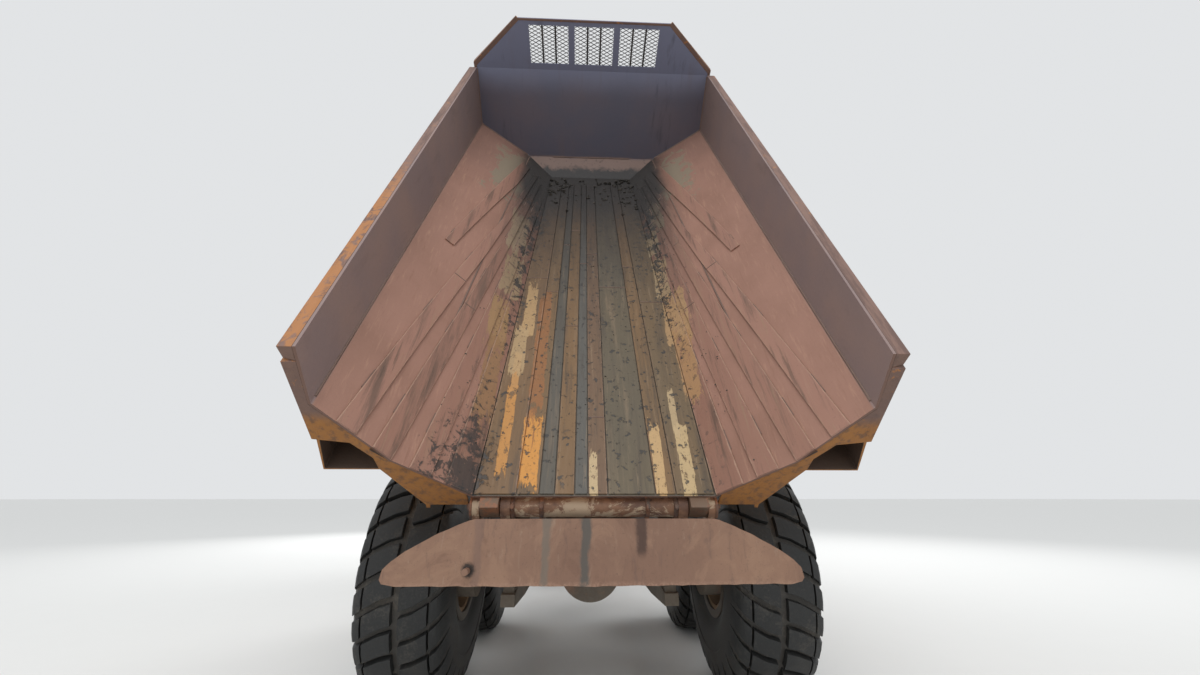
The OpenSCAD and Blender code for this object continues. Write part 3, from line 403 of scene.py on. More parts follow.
def frontWallSteel(name):
    r = Recipe(name, "bed")
    grain, broad = r.noise(40, 6, 0.7), r.noise(1.8, 5)
    low = (r.z + (r.noise(4, 5) - 0.5) * 0.06).ramp(0.31, 0.27)
    # painted light: the upper part of the front wall is made lighter and bluer by height
    top = (r.z + (r.noise(3, 4) - 0.5) * 0.1).ramp(0.9, 1.25)
    runs = r.noise(7, 7, 0.62, stretch=(1, 1, 0.12))
    r.colour = r.mix(broad.ramp(0.3, 0.7), (82, 81, 95), (92, 84, 93))
    r.over(top * 0.85, (116, 120, 142))
    r.over(runs.ramp(0.52, 0.72) * 0.3, (98, 84, 84))
    r.over(runs.ramp(0.42, 0.28) * 0.4, (50, 50, 58))
    r.over(low * 0.9, r.mix(broad, (134, 108, 96), (112, 92, 82)))
    ragged = (r.noise(7, 9, 0.72) - 0.5) * 0.16
    mud = (r.z + ragged).ramp(0.215, 0.17) * 0.95
    mud = mud.most(low * r.noise(26, 6, 0.7).ramp(0.6, 0.66) * 0.7)
    r.over(mud, mudLook["wet"])
    outward = r.facing(tuple(-c for c in bedRear)).ramp(0.3, 0.6)
    worn = r.noise(8, 9, 0.72, bend=0.5).ramp(0.56, 0.6)
    r.over(outward, wornPaint(r, worn, broad))
    return r.finish(r.blendValue(grain, 0.48, 0.74), r.bump(grain * 0.6 + runs * 0.4 + mud, 0.4, 0.004))


def ribSteel(name):
    # rails, collar, boxes and ribs: worn rail tops, rust on what faces the rear, paint outside
    r = Recipe(name, "bed")
    grain, broad = r.noise(46, 6, 0.7), r.noise(3.2, 6)
    chips = r.noise(12, 9, 0.72, bend=0.6) + (broad - 0.5) * 0.4
    scuffs = r.noise(22, 8, 0.7, stretch=(1, 0.12, 1))
    paint = r.mix(broad, paintLook["fresh"], paintLook["faded"])
    paint = r.mix(r.noise(6, 5, 0.6, stretch=(1, 0.2, 1)).ramp(0.5, 0.75) * 0.45, paint, mudLook["dry"])
    paint = r.mix(chips.ramp(0.56, 0.6), paint, rustColour(r))
    rust = r.mix(broad.ramp(0.3, 0.7), (118, 90, 76), (100, 76, 68))
    rust = r.mix(scuffs.ramp(0.5, 0.7) * 0.5, rust, (86, 66, 60))
    rear = r.mix((chips - 0.1).ramp(0.5, 0.53) * 0.8, rust, r.mix(grain, (150, 98, 52), (176, 112, 48)))
    # paint on the low rear faces, darkened as painted shade
    lowPaintWithPaintedShade = r.mix(scuffs.ramp(0.46, 0.64) * 0.7, r.mix(broad, (160, 106, 42), (134, 86, 38)), (84, 60, 46))
    rear = r.mix((r.z + (broad - 0.5) * 0.2).ramp(0.80, 0.70), rear, lowPaintWithPaintedShade)
    top = r.mix(scuffs.ramp(0.44, 0.6) * 0.7, r.mix(broad, (120, 92, 82), (134, 106, 94)), (92, 70, 64))
    worn = ((-1 * r.x).ramp(1.2, 1.26) * (1.9 - r.y).ramp(-0.4, 0.6) + (chips - 0.1).ramp(0.5, 0.55) * 0.6).least(1.0)
    top = r.mix(worn * chips.ramp(0.40, 0.52) * 0.75, top, (178, 118, 62))
    r.colour = r.mix(r.facing(bedRear).ramp(0.5, 0.62), paint, rear)
    r.over(r.facing(bedUp).ramp(0.6, 0.75), top)
    # faces turned to the middle, and the floors of the boxes
    shelf = (r.facing(bedUp) - 0.5).ramp(0.0, 0.2) * (1.12 - r.z * 1.1).ramp(0.0, 0.1)
    inward = (r.x * r.split(r.normal)[0]).ramp(-0.5, -0.8).most(shelf)
    r.over(inward, (76, 60, 50))
    return r.finish(r.blendValue(grain, 0.5, 0.8), r.bump(grain * 0.6 + scuffs * 0.5, 0.5, 0.004))


def wornPlateSteel(name):
    # deflector: brown-pink rust with uneven upright streaks, two wet runs and a stain
    r = Recipe(name)
    grain, broad = r.noise(55, 7, 0.72), r.noise(2.2, 6)
    streaks = r.noise(26, 9, 0.7, stretch=(1.0, 1.0, 0.22), bend=0.5)
    patch = r.noise(3.4, 7, 0.7, bend=1.4)
    r.colour = r.mix(broad.ramp(0.3, 0.7), (136, 104, 84), (121, 91, 74))
    r.over(patch.ramp(0.5, 0.62) * 0.5, (146, 114, 92))
    r.over(patch.ramp(0.45, 0.36) * 0.5, (108, 79, 63))
    r.over(streaks.ramp(0.54, 0.7) * 0.55, (96, 76, 68))
    r.over(streaks.ramp(0.42, 0.28) * 0.5, (150, 128, 108))
    r.over(r.noise(120, 4, 0.6).ramp(0.62, 0.7) * 0.5, (78, 58, 50))
    wander = (r.noise(5, 6, 0.7, stretch=(1, 1, 0.6)) - 0.5) * 0.09
    for place, width, tint, share, low in (
            (-0.265, 0.030, (104, 96, 86), 0.75, 0.0), (-0.055, 0.032, (78, 75, 70), 0.9, 0.0),
            (0.245, 0.036, (62, 42, 34), 0.85, 0.97), (-0.62, 0.03, (110, 86, 76), 0.5, 0.0)):
        line = abs(r.x - place + wander).ramp(width, width * 0.4)
        if low:
            line = line * (r.z + wander).ramp(low, low + 0.05)
        r.over(line * share, tint)
    burnt = r.node("ShaderNodeVectorMath", {"operation": "DISTANCE"},
                   {0: r.at, 1: (burntHole[0], hinge.y - 0.174, burntHole[1])}, "Value") + (grain - 0.5) * 0.03
    r.over(burnt.ramp(0.045, 0.022), (48, 36, 30))
    rim = r.z.ramp(0.874, 0.850)
    r.over(rim * grain.ramp(0.4, 0.6) * 0.6, (156, 124, 104))
    return r.finish(r.blendValue(streaks, 0.5, 0.8), r.bump(grain * 0.6 + streaks * 0.5, 0.5, 0.004))


def rubberLook(name):
    r = Recipe(name)
    grain, broad = r.noise(70, 6, 0.7), r.noise(5, 6, 0.65)
    r.colour = r.mix(grain.ramp(0.4, 0.8) * 0.5, (33, 34, 34), (54, 53, 51))
    dust = (broad + (grain - 0.5) * 0.7).ramp(0.52, 0.74)
    r.over(dust * 0.45, (92, 88, 82))
    grooves = r.attribute("tone")
    r.over(grooves * (0.35 + dust * 0.4), (98, 92, 84))
    r.over(dirtFrom(r, 0.0, 0.35, 0.25), (90, 85, 78))
    return r.finish(r.blendValue(dust, 0.62, 0.9), r.bump(grain + broad * 0.3, 0.45, 0.003))


def plainLook(name, base, rough, metal=0.0, speck=0.25, scale=40.0, dust=0.35, **other):
    r = Recipe(name)
    grain = r.noise(scale, 6, 0.65)
    r.colour = r.mix((grain - 0.3) * speck, base, mudLook["dust"])
    r.over(r.noise(3.5, 6, 0.65).ramp(0.5, 0.75) * dust, mudLook["dry"])
    shine = r.blendValue(grain, rough, min(1.0, rough + 0.22))
    return r.finish(shine, r.bump(grain, 0.25, 0.0015), metal, **other)


def glassLook(name):
    r = Recipe(name)
    grime = r.noise(5, 7, 0.7).ramp(0.4, 0.8)
    r.colour = r.mix(grime, (118, 132, 136), (150, 148, 138))
    return r.finish(r.blendValue(grime, 0.04, 0.35), Alpha=0.3 + grime * 0.25)


def clothLook(name):
    r = Recipe(name)
    weave, cross = (r.node("ShaderNodeTexWave", {"wave_type": "BANDS", "bands_direction": axis},
                           {"Vector": r.at, "Scale": 180.0}) for axis in "XZ")
    thread = weave * 0.5 + cross * 0.5
    r.colour = r.mix(r.noise(9, 6, 0.6), (48, 50, 54), (74, 74, 74))
    r.over(thread * 0.3, (96, 96, 98))
    return r.finish(0.92, r.bump(thread + r.noise(60, 4) * 0.5, 0.4, 0.001), Sheen_Weight=0.3)


looks = {
    "paint": paintedSteel("orangePaint", paintLook["fresh"], paintLook["faded"], 0.55),
    "rimPaint": paintedSteel("rimPaint", paintLook["fresh"], paintLook["faded"], 0.75, 1.9),
    "darkSteel": darkSteel("frameSteel", (58, 52, 48)),
    "rearFrame": darkSteel("rearFrameSteel", (58, 52, 48), hingeTraces=True),
    "castSteel": darkSteel("castSteel", (72, 64, 56), 0.6, 1.3),
    "hingeSteel": darkSteel("hingeSteel", (74, 54, 46), 1.2, 0.4),
    "bedPlate": bedPlateSteel("bedPlate"),
    "strips": stripSteel("wearStrip"),
    "frontWall": frontWallSteel("frontWall"),
    "ribs": ribSteel("bodyRibs"),
    "sills": darkSteel("sillSteel", (104, 78, 58), 0.9, 0.3),
    "wornPlate": wornPlateSteel("wornPlate"),
    "weld": plainLook("weldBead", (112, 88, 78), 0.6, 0.0, 0.5, 90, 0.3),
    "rubber": rubberLook("rubber"),
    "seal": plainLook("rubberSeal", (30, 30, 31), 0.7),
    "chrome": plainLook("rodChrome", (196, 198, 202), 0.12, 1.0, 0.05, 20, 0.08),
    "mirror": plainLook("mirrorGlass", (205, 208, 210), 0.05, 1.0, 0.04, 12, 0.12),
    "bolt": plainLook("boltSteel", (92, 84, 76), 0.5, 0.6, 0.4, 60, 0.5),
    "blackPlastic": plainLook("blackPlastic", (34, 34, 35), 0.55),
    "mesh": plainLook("meshSteel", (58, 56, 58), 0.6, 0.3),
    "glass": glassLook("cabGlass"),
    "cloth": clothLook("seatCloth"),
    "lens": plainLook("lampLens", (214, 214, 206), 0.12, 0.0, 0.08, 20, 0.12, Coat_Weight=0.6),
    "mud": plainLook("mudLump", (50, 48, 46), 0.75, 0.0, 0.5, 60, 0.3),
    "soot": darkSteel("exhaustSteel", (70, 62, 58), 1.0, 0.5),
}
print("stage: finishes made,", len(looks))

# mesh tools


class Shape:
    # one bmesh that grows by bmesh operators; place moves the whole of it when it is done
    def __init__(self, place=None):
        self.bm, self.place = bmesh.new(), place
        for name in ("tone", "rim"):
            self.bm.verts.layers.float.new(name)
        self.tone, self.rim = (self.bm.verts.layers.float[name] for name in ("tone", "rim"))

    def moved(self, verts, place):
        bmesh.ops.transform(self.bm, matrix=place, verts=verts)
        return verts

    def box(self, low, high, bevel=0.0, place=Matrix()):
        # any two opposite corners
        low, high = (Vector(c) for c in zip(*(sorted(ends) for ends in zip(low, high))))
        made = bmesh.ops.create_cube(self.bm, size=1.0)["verts"]
        self.moved(made, Matrix.Translation((low + high) / 2) @ Matrix.Diagonal((*(high - low), 1)))
        if bevel:
            made = self.rounded(made, bevel)
        return self.moved(made, place)

    def rounded(self, verts, width, segments=1):
        edges = {e for v in verts for e in v.link_edges}
        faces = bmesh.ops.bevel(self.bm, geom=list(edges), offset=width, segments=segments, profile=0.5,
                                affect="EDGES", material=-1, clamp_overlap=True)["faces"]
        seen = {v for f in faces for v in f.verts}
        return list(seen | {v for v in verts if v.is_valid})

    def bar(self, start, end, radius, sides=16, endRadius=None):
        start, end = Vector(start), Vector(end)
        along = end - start
        made = bmesh.ops.create_cone(self.bm, cap_ends=True, segments=sides, radius1=radius,
                                     radius2=radius if endRadius is None else endRadius, depth=along.length)["verts"]
        turn = along.to_track_quat("Z", "Y").to_matrix().to_4x4()
        return self.moved(made, Matrix.Translation((start + end) / 2) @ turn)

    def bolt(self, centre, direction, size=0.012, height=0.01):
        centre, direction = Vector(centre), Vector(direction).normalized()
        self.bar(centre - direction * 0.002, centre + direction * height * 0.3, size * 1.35, 12)
        return self.bar(centre, centre + direction * height, size, 6)

    def slab(self, across, along, mapping, tone=0.0):
        # grid block whose corners, 0 to 1 each way, go where mapping says
        under = bmesh.ops.create_grid(self.bm, x_segments=across, y_segments=along, size=0.5)["verts"]
        faces = list({f for v in under for f in v.link_faces})
        made = bmesh.ops.extrude_face_region(self.bm, geom=faces)["geom"]
        over = [v for v in made if isinstance(v, bmesh.types.BMVert)]
        bmesh.ops.translate(self.bm, verts=over, vec=(0, 0, 1))
        reach = max(v.co.x for v in under)
        for v in under + over:
            u = v.co.x / reach / 2 + 0.5
            v[self.tone], v[self.rim] = tone, float(abs(u - 0.5) > 0.49)
            v.co = mapping(u, v.co.y / reach / 2 + 0.5, v.co.z)
        return under + over

    def lump(self, centre, size, seed, detail=2):
        made = bmesh.ops.create_icosphere(self.bm, subdivisions=detail, radius=1.0)["verts"]
        for v in made:
            v.co *= 0.72 + 0.55 * noise.noise(v.co * 1.7 + Vector((seed, seed * 2, 0)))
        return self.moved(made, Matrix.Translation(centre) @ Matrix.Diagonal((*size, 1)))

    def spun(self, profile, steps=64, place=Matrix()):
        # profile of (x, radius), turned round X
        verts = [self.bm.verts.new((x, 0, r)) for x, r in profile]
        edges = [self.bm.edges.new((a, b)) for a, b in zip(verts, verts[1:])]
        before = set(self.bm.verts) - set(verts)
        bmesh.ops.spin(self.bm, geom=verts + edges, cent=(0, 0, 0), axis=(1, 0, 0), dvec=(0, 0, 0),
                       angle=2 * math.pi, steps=steps, use_merge=True, use_duplicate=False)
        return self.moved([v for v in self.bm.verts if v not in before], place)

    def hoop(self, half, low, high, place=Matrix(), steps=40):
        # flat ring round X between two radii
        self.spun([(-half, low), (-half, high), (half, high), (half, low), (-half, low)], steps, place)

    def piped(self, points, radius, sides=10):
        # round bar that follows points
        points = [Vector(p) for p in points]
        last = None
        for i, point in enumerate(points):
            ahead = (points[min(i + 1, len(points) - 1)] - points[max(i - 1, 0)]).normalized()
            ring = bmesh.ops.create_circle(self.bm, cap_ends=False, segments=sides, radius=radius)["verts"]
            self.moved(ring, Matrix.Translation(point) @ ahead.to_track_quat("Z", "Y").to_matrix().to_4x4())
            edges = list({e for v in ring for e in v.link_edges})
            if last:
                bmesh.ops.bridge_loops(self.bm, edges=last + edges)
            else:
                first = edges
            last = edges
        for ends in (first, last):
            bmesh.ops.holes_fill(self.bm, edges=ends, sides=0)

    def done(self, name, body, look, slot, replaces=(), bevel=0.0, smooth=40):
        if self.place:
            self.moved(list(self.bm.verts), self.place)
        bmesh.ops.recalc_face_normals(self.bm, faces=self.bm.faces)
        mesh = bpy.data.meshes.new(name)
        self.bm.to_mesh(mesh)
        self.bm.free()
        mesh.shade_smooth()
        mesh.set_sharp_from_angle(angle=math.radians(smooth))
        mesh.materials.append(looks[look])
        piece = bpy.data.objects.new(name, mesh)
        bpy.context.scene.collection.objects.link(piece)
        if bevel:
            softEdges(piece, bevel)
        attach(piece, body)
        if replaces:
            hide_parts(*replaces)
        return piece


def addLoft(shape, rings, side=1):
    # closed skin through rings of body places; a ring is a line out and the same line back
    n = len(rings[0])
    rows = [[shape.bm.verts.new(onBed(p.x * side, p.y, p.z)) for p in ring] for ring in rings]
    for a, b in zip(rows, rows[1:]):
        for i in range(n):
            shape.bm.faces.new((a[i], a[(i + 1) % n], b[(i + 1) % n], b[i]))
    for row in (rows[0], rows[-1]):
        for i in range(n // 2 - 1):
            shape.bm.faces.new((row[i], row[i + 1], row[n - 2 - i], row[n - 1 - i]))


def addPlate(shape, outline, depth, side=1):
    # flat outline in body places, thickened by depth
    low = [shape.bm.verts.new(onBed(p.x * side, p.y, p.z)) for p in outline]
    face = shape.bm.faces.new(low)
    made = bmesh.ops.extrude_face_region(shape.bm, geom=[face])["geom"]
    way = onBed(depth.x * side, depth.y, depth.z) - onBed(0, 0, 0)
    bmesh.ops.translate(shape.bm, verts=[v for v in made if isinstance(v, bmesh.types.BMVert)], vec=way)


def cutOut(piece, cutter):
    # takes the cutter's shape out of a piece
    mesh = bpy.data.meshes.new("cutter")
    bmesh.ops.recalc_face_normals(cutter.bm, faces=cutter.bm.faces)
    cutter.bm.to_mesh(mesh)
    cutter.bm.free()
    tool = bpy.data.objects.new("cutter", mesh)
    bpy.context.scene.collection.objects.link(tool)
    cut = piece.modifiers.new("cut", "BOOLEAN")
    cut.object, cut.operation, cut.solver = tool, "DIFFERENCE", "EXACT"
    made = bpy.data.meshes.new_from_object(piece.evaluated_get(bpy.context.evaluated_depsgraph_get()))
    piece.modifiers.clear()
    piece.data = made
    bpy.data.objects.remove(tool)


def softEdges(piece, width):
    edge = piece.modifiers.new("softEdges", "BEVEL")
    edge.width, edge.segments, edge.limit_method, edge.angle_limit = width, 2, "ANGLE", math.radians(40)


def wave(x, y, size=1.0, seed=0.0):
    return noise.noise(Vector((x * size, y * size, seed)))


# finishes of the nodes that keep their CAD meshes, and of those that a piece replaces later
nodeLooks = {
    "rearFrame": "rear_frame", "bedPlate": "bed_floor", "sills": "bed_sills", "soot": "exhaust", "lens": "lamps",
    "darkSteel": "tractor_frame bumper steps tip_barrels steer_barrel_left steer_barrel_right",
    "castSteel": "bogie_beams tandem_axles rear_driveshaft front_axle hitch engine",
    "paint": "cab_shell mudguards tank cab_door hood", "glass": "cab_glass door_glass",
    "chrome": "tip_stages tip_rods steer_rod_left steer_rod_right", "blackPlastic": "dashboard mirrors seat",
    "rubber": " ".join("tyre_" + place for place in wheels), "rimPaint": " ".join("rim_" + place for place in wheels)}
for look, nodes in nodeLooks.items():
    for name in nodes.split():
        slots = frame["nodes"][name].data.materials
        slots.clear()
        slots.append(looks[look])

# body shell: what stands outside the walls; a number of corners up the wall, or metres over the wall's outside
shell = {"steps": 48, "seat": 0.0003, "slopeSeat": 0.0007,
         "collar": ((1, 0.050), (1.4, 0.060)), "collarSide": (1.377, 0.610),
         "boxLow": 0.390, "boxHalf": (1.388, 1.352), "boxThick": 0.010, "boxTop": 1.93, "boxSteps": 24,
         "ribs": (12, 24, 36), "ribHigh": 0.060, "gusset": 0.014,
         # lugs of the tip cylinders: x and top; the eye's place along, over the hinge, and its half width
         "lugs": ((0.600, 0.124), (0.740, 0.236)), "lugThick": 0.024, "eye": (2.2, 0.020, 0.062),
         "beam": (0.004, 0.080)}


def railShare(t, depth):
    low, high = (wallLines[i][0].lerp(wallLines[i][1], t).z for i in (2, 3))
    return 3 - depth / (high - low)


def makeWalls():
    for name, side in (("left", -1), ("right", 1)):
        shape = Shape()
        addLoft(shape, [[wallAt(i, j / shell["steps"]) for i in range(4)]
                        + [wallAt(i, j / shell["steps"], bed["plate"]) for i in (3, 2, 1, 0)]
                        for j in range(shell["steps"] + 1)], side)
        shape.done("bodySide_" + name, "bed", "bedPlate", "bed_steel", ("bed_wall_" + name,), smooth=14)


def boxEdge(z, t, lift):
    # place on the lifted wall at a height over the hinge
    heights = [wallAt(i, t, lift).z for i in range(4)]
    i = 0 if z < heights[1] else 1 if z < heights[2] else 2
    return wallAt(i + (z - heights[i]) / (heights[i + 1] - heights[i]), t, lift)


def makeRibs():
    shape = Shape()
    plate, wide = bed["plate"], Vector((bed["railWidth"], 0, 0))
    steps, seat, lift = shell["steps"], bed["plate"] + shell["seat"], bed["plate"] + shell["slopeSeat"]
    low = shell["boxLow"]

    def railRing(t):
        high = wallAt(3, t, seat)
        return [wallAt(railShare(t, bed["railHeight"]), t, lift), high, high + wide,
                high + wide - Vector((0, 0, bed["railHeight"]))]

    def underRail(t):
        return wallAt(railShare(t, bed["railHeight"] + 0.002), t, lift)

    def collarRing(t):
        high = underRail(t)
        (a, far), (b, farther) = shell["collar"]
        return [wallAt(a, t, seat), wallAt(b, t, seat), wallAt(2, t, seat), high, high + wide,
                Vector((shell["collarSide"][0], wallAt(1.5, t).y, shell["collarSide"][1])),
                wallAt(b, t, plate + farther), wallAt(a, t, plate + far)]

    def boxCorner(t, inwards):
        half = shell["boxHalf"]
        return Vector((half[0] + (half[1] - half[0]) * t - inwards, boxEdge(low, t, lift).y, low + inwards))

    def boxRing(t):
        thick = shell["boxThick"]
        return [boxEdge(low + thick, t, lift), boxCorner(t, thick), wallAt(shell["boxTop"], t, lift),
                wallAt(2, t, lift), boxCorner(t, 0), boxEdge(low, t, lift)]

    def capRing(t):
        thick = shell["boxThick"]
        return [wallAt(1.6, t, lift), wallAt(shell["boxTop"], t, lift), boxCorner(t, thick),
                boxEdge(low + thick, t, lift)]

    def ribRing(t):
        foot, high, deep = wallAt(2, t, seat), underRail(t), Vector((shell["ribHigh"], 0, 0))
        return [foot, high, high + deep, foot + deep]

    foot, knee, side = wallAt(0.1, 0, seat), wallAt(1, 0, seat), wallAt(1.25, 0, seat)
    # the torn lower edge stands between 0.93 and 0.96
    gusset = [(foot.x, 0.020), (0.930, 0.020), (0.936, -0.014), (0.960, -0.018), (0.955, 0.020),
              (side.x, knee.z - 0.070), (side.x, side.z), (knee.x, knee.z), (foot.x, foot.z)]
    along, over, eye = shell["eye"]
    lug = [(along - eye * math.cos(a * math.pi / 12), over - eye * math.sin(a * math.pi / 12)) for a in range(13)]
    for way in (-1, 1):
        addLoft(shape, [railRing(j / steps) for j in range(steps + 1)], way)
        addLoft(shape, [collarRing(0), collarRing(1 / steps)], way)
        addLoft(shape, [boxRing(j / shell["boxSteps"]) for j in range(shell["boxSteps"] + 1)], way)
        addLoft(shape, [capRing(1 - shell["boxThick"] / bed["length"]), capRing(1)], way)
        for step in shell["ribs"]:
            addLoft(shape, [ribRing(step / steps), ribRing((step + 1) / steps)], way)
        addPlate(shape, [Vector((x, 0, z)) for x, z in gusset], Vector((0, shell["gusset"], 0)), way)
        for x, top in shell["lugs"]:
            spread = eye + 0.09 * (top - over) / 0.28
            outline = [*lug, (along + spread, top), (along - spread, top)]
            addPlate(shape, [Vector((x, y, z)) for y, z in outline], Vector((shell["lugThick"], 0, 0)), way)
    shape.done("bodyRibs", "bed", "ribs", "bed_steel", ("bed_ribs",), bevel=0.003)


def makeFrontWall():
    shape = Shape()
    plate = bed["plate"]
    foot, knee, bend, rail = (wallLines[i][1] + Vector((0, bed["frontGap"], 0)) for i in range(4))
    out = Vector((plate, 0, 0))

    def mirrored(points):
        return points + [Vector((-p.x, p.y, p.z)) for p in reversed(points)]

    run = (knee - foot).normalized()
    addPlate(shape, mirrored([foot, knee]), Vector((0, run.z, -run.y)).normalized() * plate)
    lean = Vector((0, bed["frontLean"], 1)).normalized()
    addPlate(shape, mirrored([knee, bend, rail + out]), Vector((0, lean.z, -lean.y)) * plate)
    (near, far), low = shell["beam"], rail.z
    addPlate(shape, [Vector((x, rail.y + near, z)) for x, z in
                     ((-rail.x, low - 0.07), (rail.x, low - 0.07), (rail.x, low + 0.01), (-rail.x, low + 0.01))],
             Vector((0, far - near, 0)))
    up = Vector((0, -bed["topBack"], bed["frontTop"] - rail.z))
    high, up = up.length, up.normalized()
    back = Vector((0, up.z, -up.y))
    top = Vector((bed["topHalf"], rail.y, rail.z)) + up * high
    addPlate(shape, mirrored([rail + out, rail + out + up * 0.04, top]), back * plate)
    piece = shape.done("frontWall", "bed", "frontWall", "front_wall", ("bed_headboard",), smooth=14)
    cutter = Shape()
    for i in (-1, 0, 1):
        x, half, z0, z1 = i * windows["pitch"], windows["wide"] / 2, windows["low"], windows["low"] + windows["high"]
        corners = ((x - half, z0), (x + half, z0), (x + half, z1), (x - half, z1))
        addPlate(cutter, [Vector((a, rail.y, rail.z)) + up * b - back * 0.05 for a, b in corners], back * 0.15)
    cutOut(piece, cutter)
    # folded edges along the sloping sides and the top
    edge = Shape()
    for way in (-1, 1):
        corner = rail + out + up * 0.035
        across = (top - corner).cross(back).normalized() * 0.022
        addLoft(edge, [[p + across * a + back * b for a, b in ((1, -0.002), (1, deep), (-1, deep), (-1, -0.002))]
                       for p, deep in ((rail + out - up * 0.02, 0.05), (corner, 0.05), (top, 0.0135))], way)
    addLoft(edge, [[Vector((x, top.y, top.z)) + up * h + back * d
                    for h, d in ((-0.022, -0.002), (-0.022, 0.0138), (-0.0004, 0.0138), (-0.0004, -0.002))]
                   for x in (-top.x, top.x)])
    edge.done("frontWallEdges", "bed", "ribs", "front_wall", bevel=0.003)


# windows of the front wall: expanded metal behind three openings
windows = {"wide": 0.404, "high": 0.366, "pitch": 0.468, "low": 0.060, "edge": 0.011,
           "cellWide": 0.070, "cellHigh": 0.036, "strand": 0.0022, "strandWide": 0.0036}

makeWalls()
makeRibs()
makeFrontWall()
print("stage: body's walls, rails and front wall made")

# wear strips: edges in shares of the floor's half width at the rear and the front, and a tone for each strip
strips = {
    "edges": [(-1, -1), (-0.647, -0.702), (-0.465, -0.527), (-0.336, -0.409), (-0.171, -0.233),
              (-0.059, -0.117), (0.106, 0.075), (0.503, 0.458), (0.676, 0.632), (1, 1)],
    "tones": [0.5, 0.58, 0.86, 0.54, 1.0, 0.44, 0.72, 0.56, 0.66],
    # share of the length and lower and upper edge in corners, then the same at the far end, and a tone
    "slopes": [(0.42, 1.47, 1.62, 0.93, 0.83, 1.08, 0.04), (0, 1.47, 1.71, 0.93, 0.49, 0.60, 0.0),
               (0, 1.00, 1.25, 0.90, 0.33, 0.45, 0.1), (0, 0.55, 0.80, 0.90, 0.08, 0.26, 0.14),
               (0, 0.03, 0.38, 0.90, 0.02, 0.10, 0.2)],
    "thick": 0.016, "seat": 0.0003, "gap": 0.0025, "reach": 0.95,
    # joints between plates, along the strip: side, row, share
    "joints": {(-1, 1): (0.38, 0.80), (-1, 2): (0.34, 0.72), (-1, 3): (0.55,), (-1, 4): (0.48,),
               (1, 1): (0.45, 0.83), (1, 2): (0.62,), (1, 3): (0.40, 0.78), (1, 4): (0.52,)},
    "floorJoints": {0: (0.52,), 1: (0.47,), 2: (0.66,), 3: (0.36, 0.73), 4: (0.58,), 5: (0.135, 0.62), 6: (0.49,),
                    7: (0.57,), 8: (0.44,)},
}


def plateGrid(shape, low, high, over, t0, t1, tone, seed):
    # one wear plate between two edge functions of t, laid over a surface
    def place(u, v, w):
        t = t0 + (t1 - t0) * v
        a, b = low(t), high(t)
        side = (b - a).normalized()
        wobble = 0.0022 * wave(t * 9, seed, 3.0, u)
        point = a.lerp(b, u) + side * (wobble if 0 < u < 1 else wobble * 0.6 + (-0.001 if u else 0.001))
        bend = 0.0014 * (1 + wave(t * 6, u * 2 + seed, 2.0))
        worn = 0.004 * max(0.0, 1 - (t - t0) / 0.015) * (0.6 + 0.4 * wave(u * 6, seed, 2.0, 4)) if v < 0.06 else 0.0
        return bedPlace @ (point + over(t) * (strips["seat"] + (strips["thick"] - bend - worn) * w))
    shape.slab(4, max(6, int((t1 - t0) * 44)), place, tone)


def makeStrips():
    plates, beads = Shape(), Shape()
    length = bed["length"] * strips["reach"]
    edges = strips["edges"]

    def floorEdge(i, shift):
        rear = edges[i][0] * bed["floorRear"]
        front = edges[i][1] * (bed["floorRear"] + (bed["floorFront"] - bed["floorRear"]) * strips["reach"])
        return lambda t: Vector((rear + (front - rear) * t + shift, 0.008 + (length - 0.008) * t, bed["rise"]))

    def cuts(joints):
        ends = [0.0, *joints, 1.0]
        return [(a + (0.0006 if a else 0), b - (0.0006 if b < 1 else 0)) for a, b in zip(ends, ends[1:])]

    def bead(points):
        beads.piped([bedPlace @ p for p in points], 0.0038, 6)

    for i in range(1, len(edges)):
        low, high = floorEdge(i - 1, strips["gap"]), floorEdge(i, -strips["gap"])
        for k, (a, b) in enumerate(cuts(strips["floorJoints"][i - 1])):
            plateGrid(plates, low, high, lambda t: Vector((0, 0, 1)), a, b,
                      strips["tones"][i - 1] + 0.05 * wave(i, k, 3.7), i * 3.1 + k)
        for joint in strips["floorJoints"][i - 1]:
            bead([low(joint).lerp(high(joint), s / 6) + Vector((0, 0.002 * wave(s, i, 1.3), strips["thick"] - 0.001))
                  for s in range(7)])
    for side in (-1, 1):
        for row, (t0, a0, b0, t1, a1, b1, tone) in enumerate(strips["slopes"]):
            def edge(first, last, start=t0, end=t1, way=side):
                return lambda k: wallPoint(first + (last - first) * k, start + (end - start) * k, 0.0, way)

            low, high = edge(a0, a1), edge(b0, b1)

            def over(k, low=low, high=high, way=side):
                run = high(k) - low(k)
                return Vector((-run.z * way, 0, run.x * way)).normalized()

            joints = strips["joints"].get((side, row), ())
            for n, (a, b) in enumerate(cuts(joints)):
                shade = tone + 0.05 * wave(row, n, 2.3, side)
                plateGrid(plates, low, high, over, a, b, shade, row * 5.3 + side + n)
            for joint in joints:
                bead([low(joint).lerp(high(joint), s / 6) + over(joint) * (strips["thick"] - 0.001) for s in range(7)])
            # stitched weld along the upper edge
            for stitch in range(5):
                k0 = 0.06 + 0.19 * stitch
                bead([high(k0 + 0.012 * s) + over(k0) * 0.004 + Vector((0, 0, 0.0012 * wave(s, stitch, 1.9)))
                      for s in range(4)])
    plates.done("wearPlates", "bed", "strips", "bed_steel", ("wear_strips",), bevel=0.002)
    beads.done("stripWelds", "bed", "weld", "bed_steel", smooth=60)


makeStrips()

# body: weld seams inside the folds and mud that has dried in
seams = {"radius": 0.007, "step": 60, "wallSteps": 24, "mudLumps": 210, "crumbs": 260, "tubeLumps": 26}


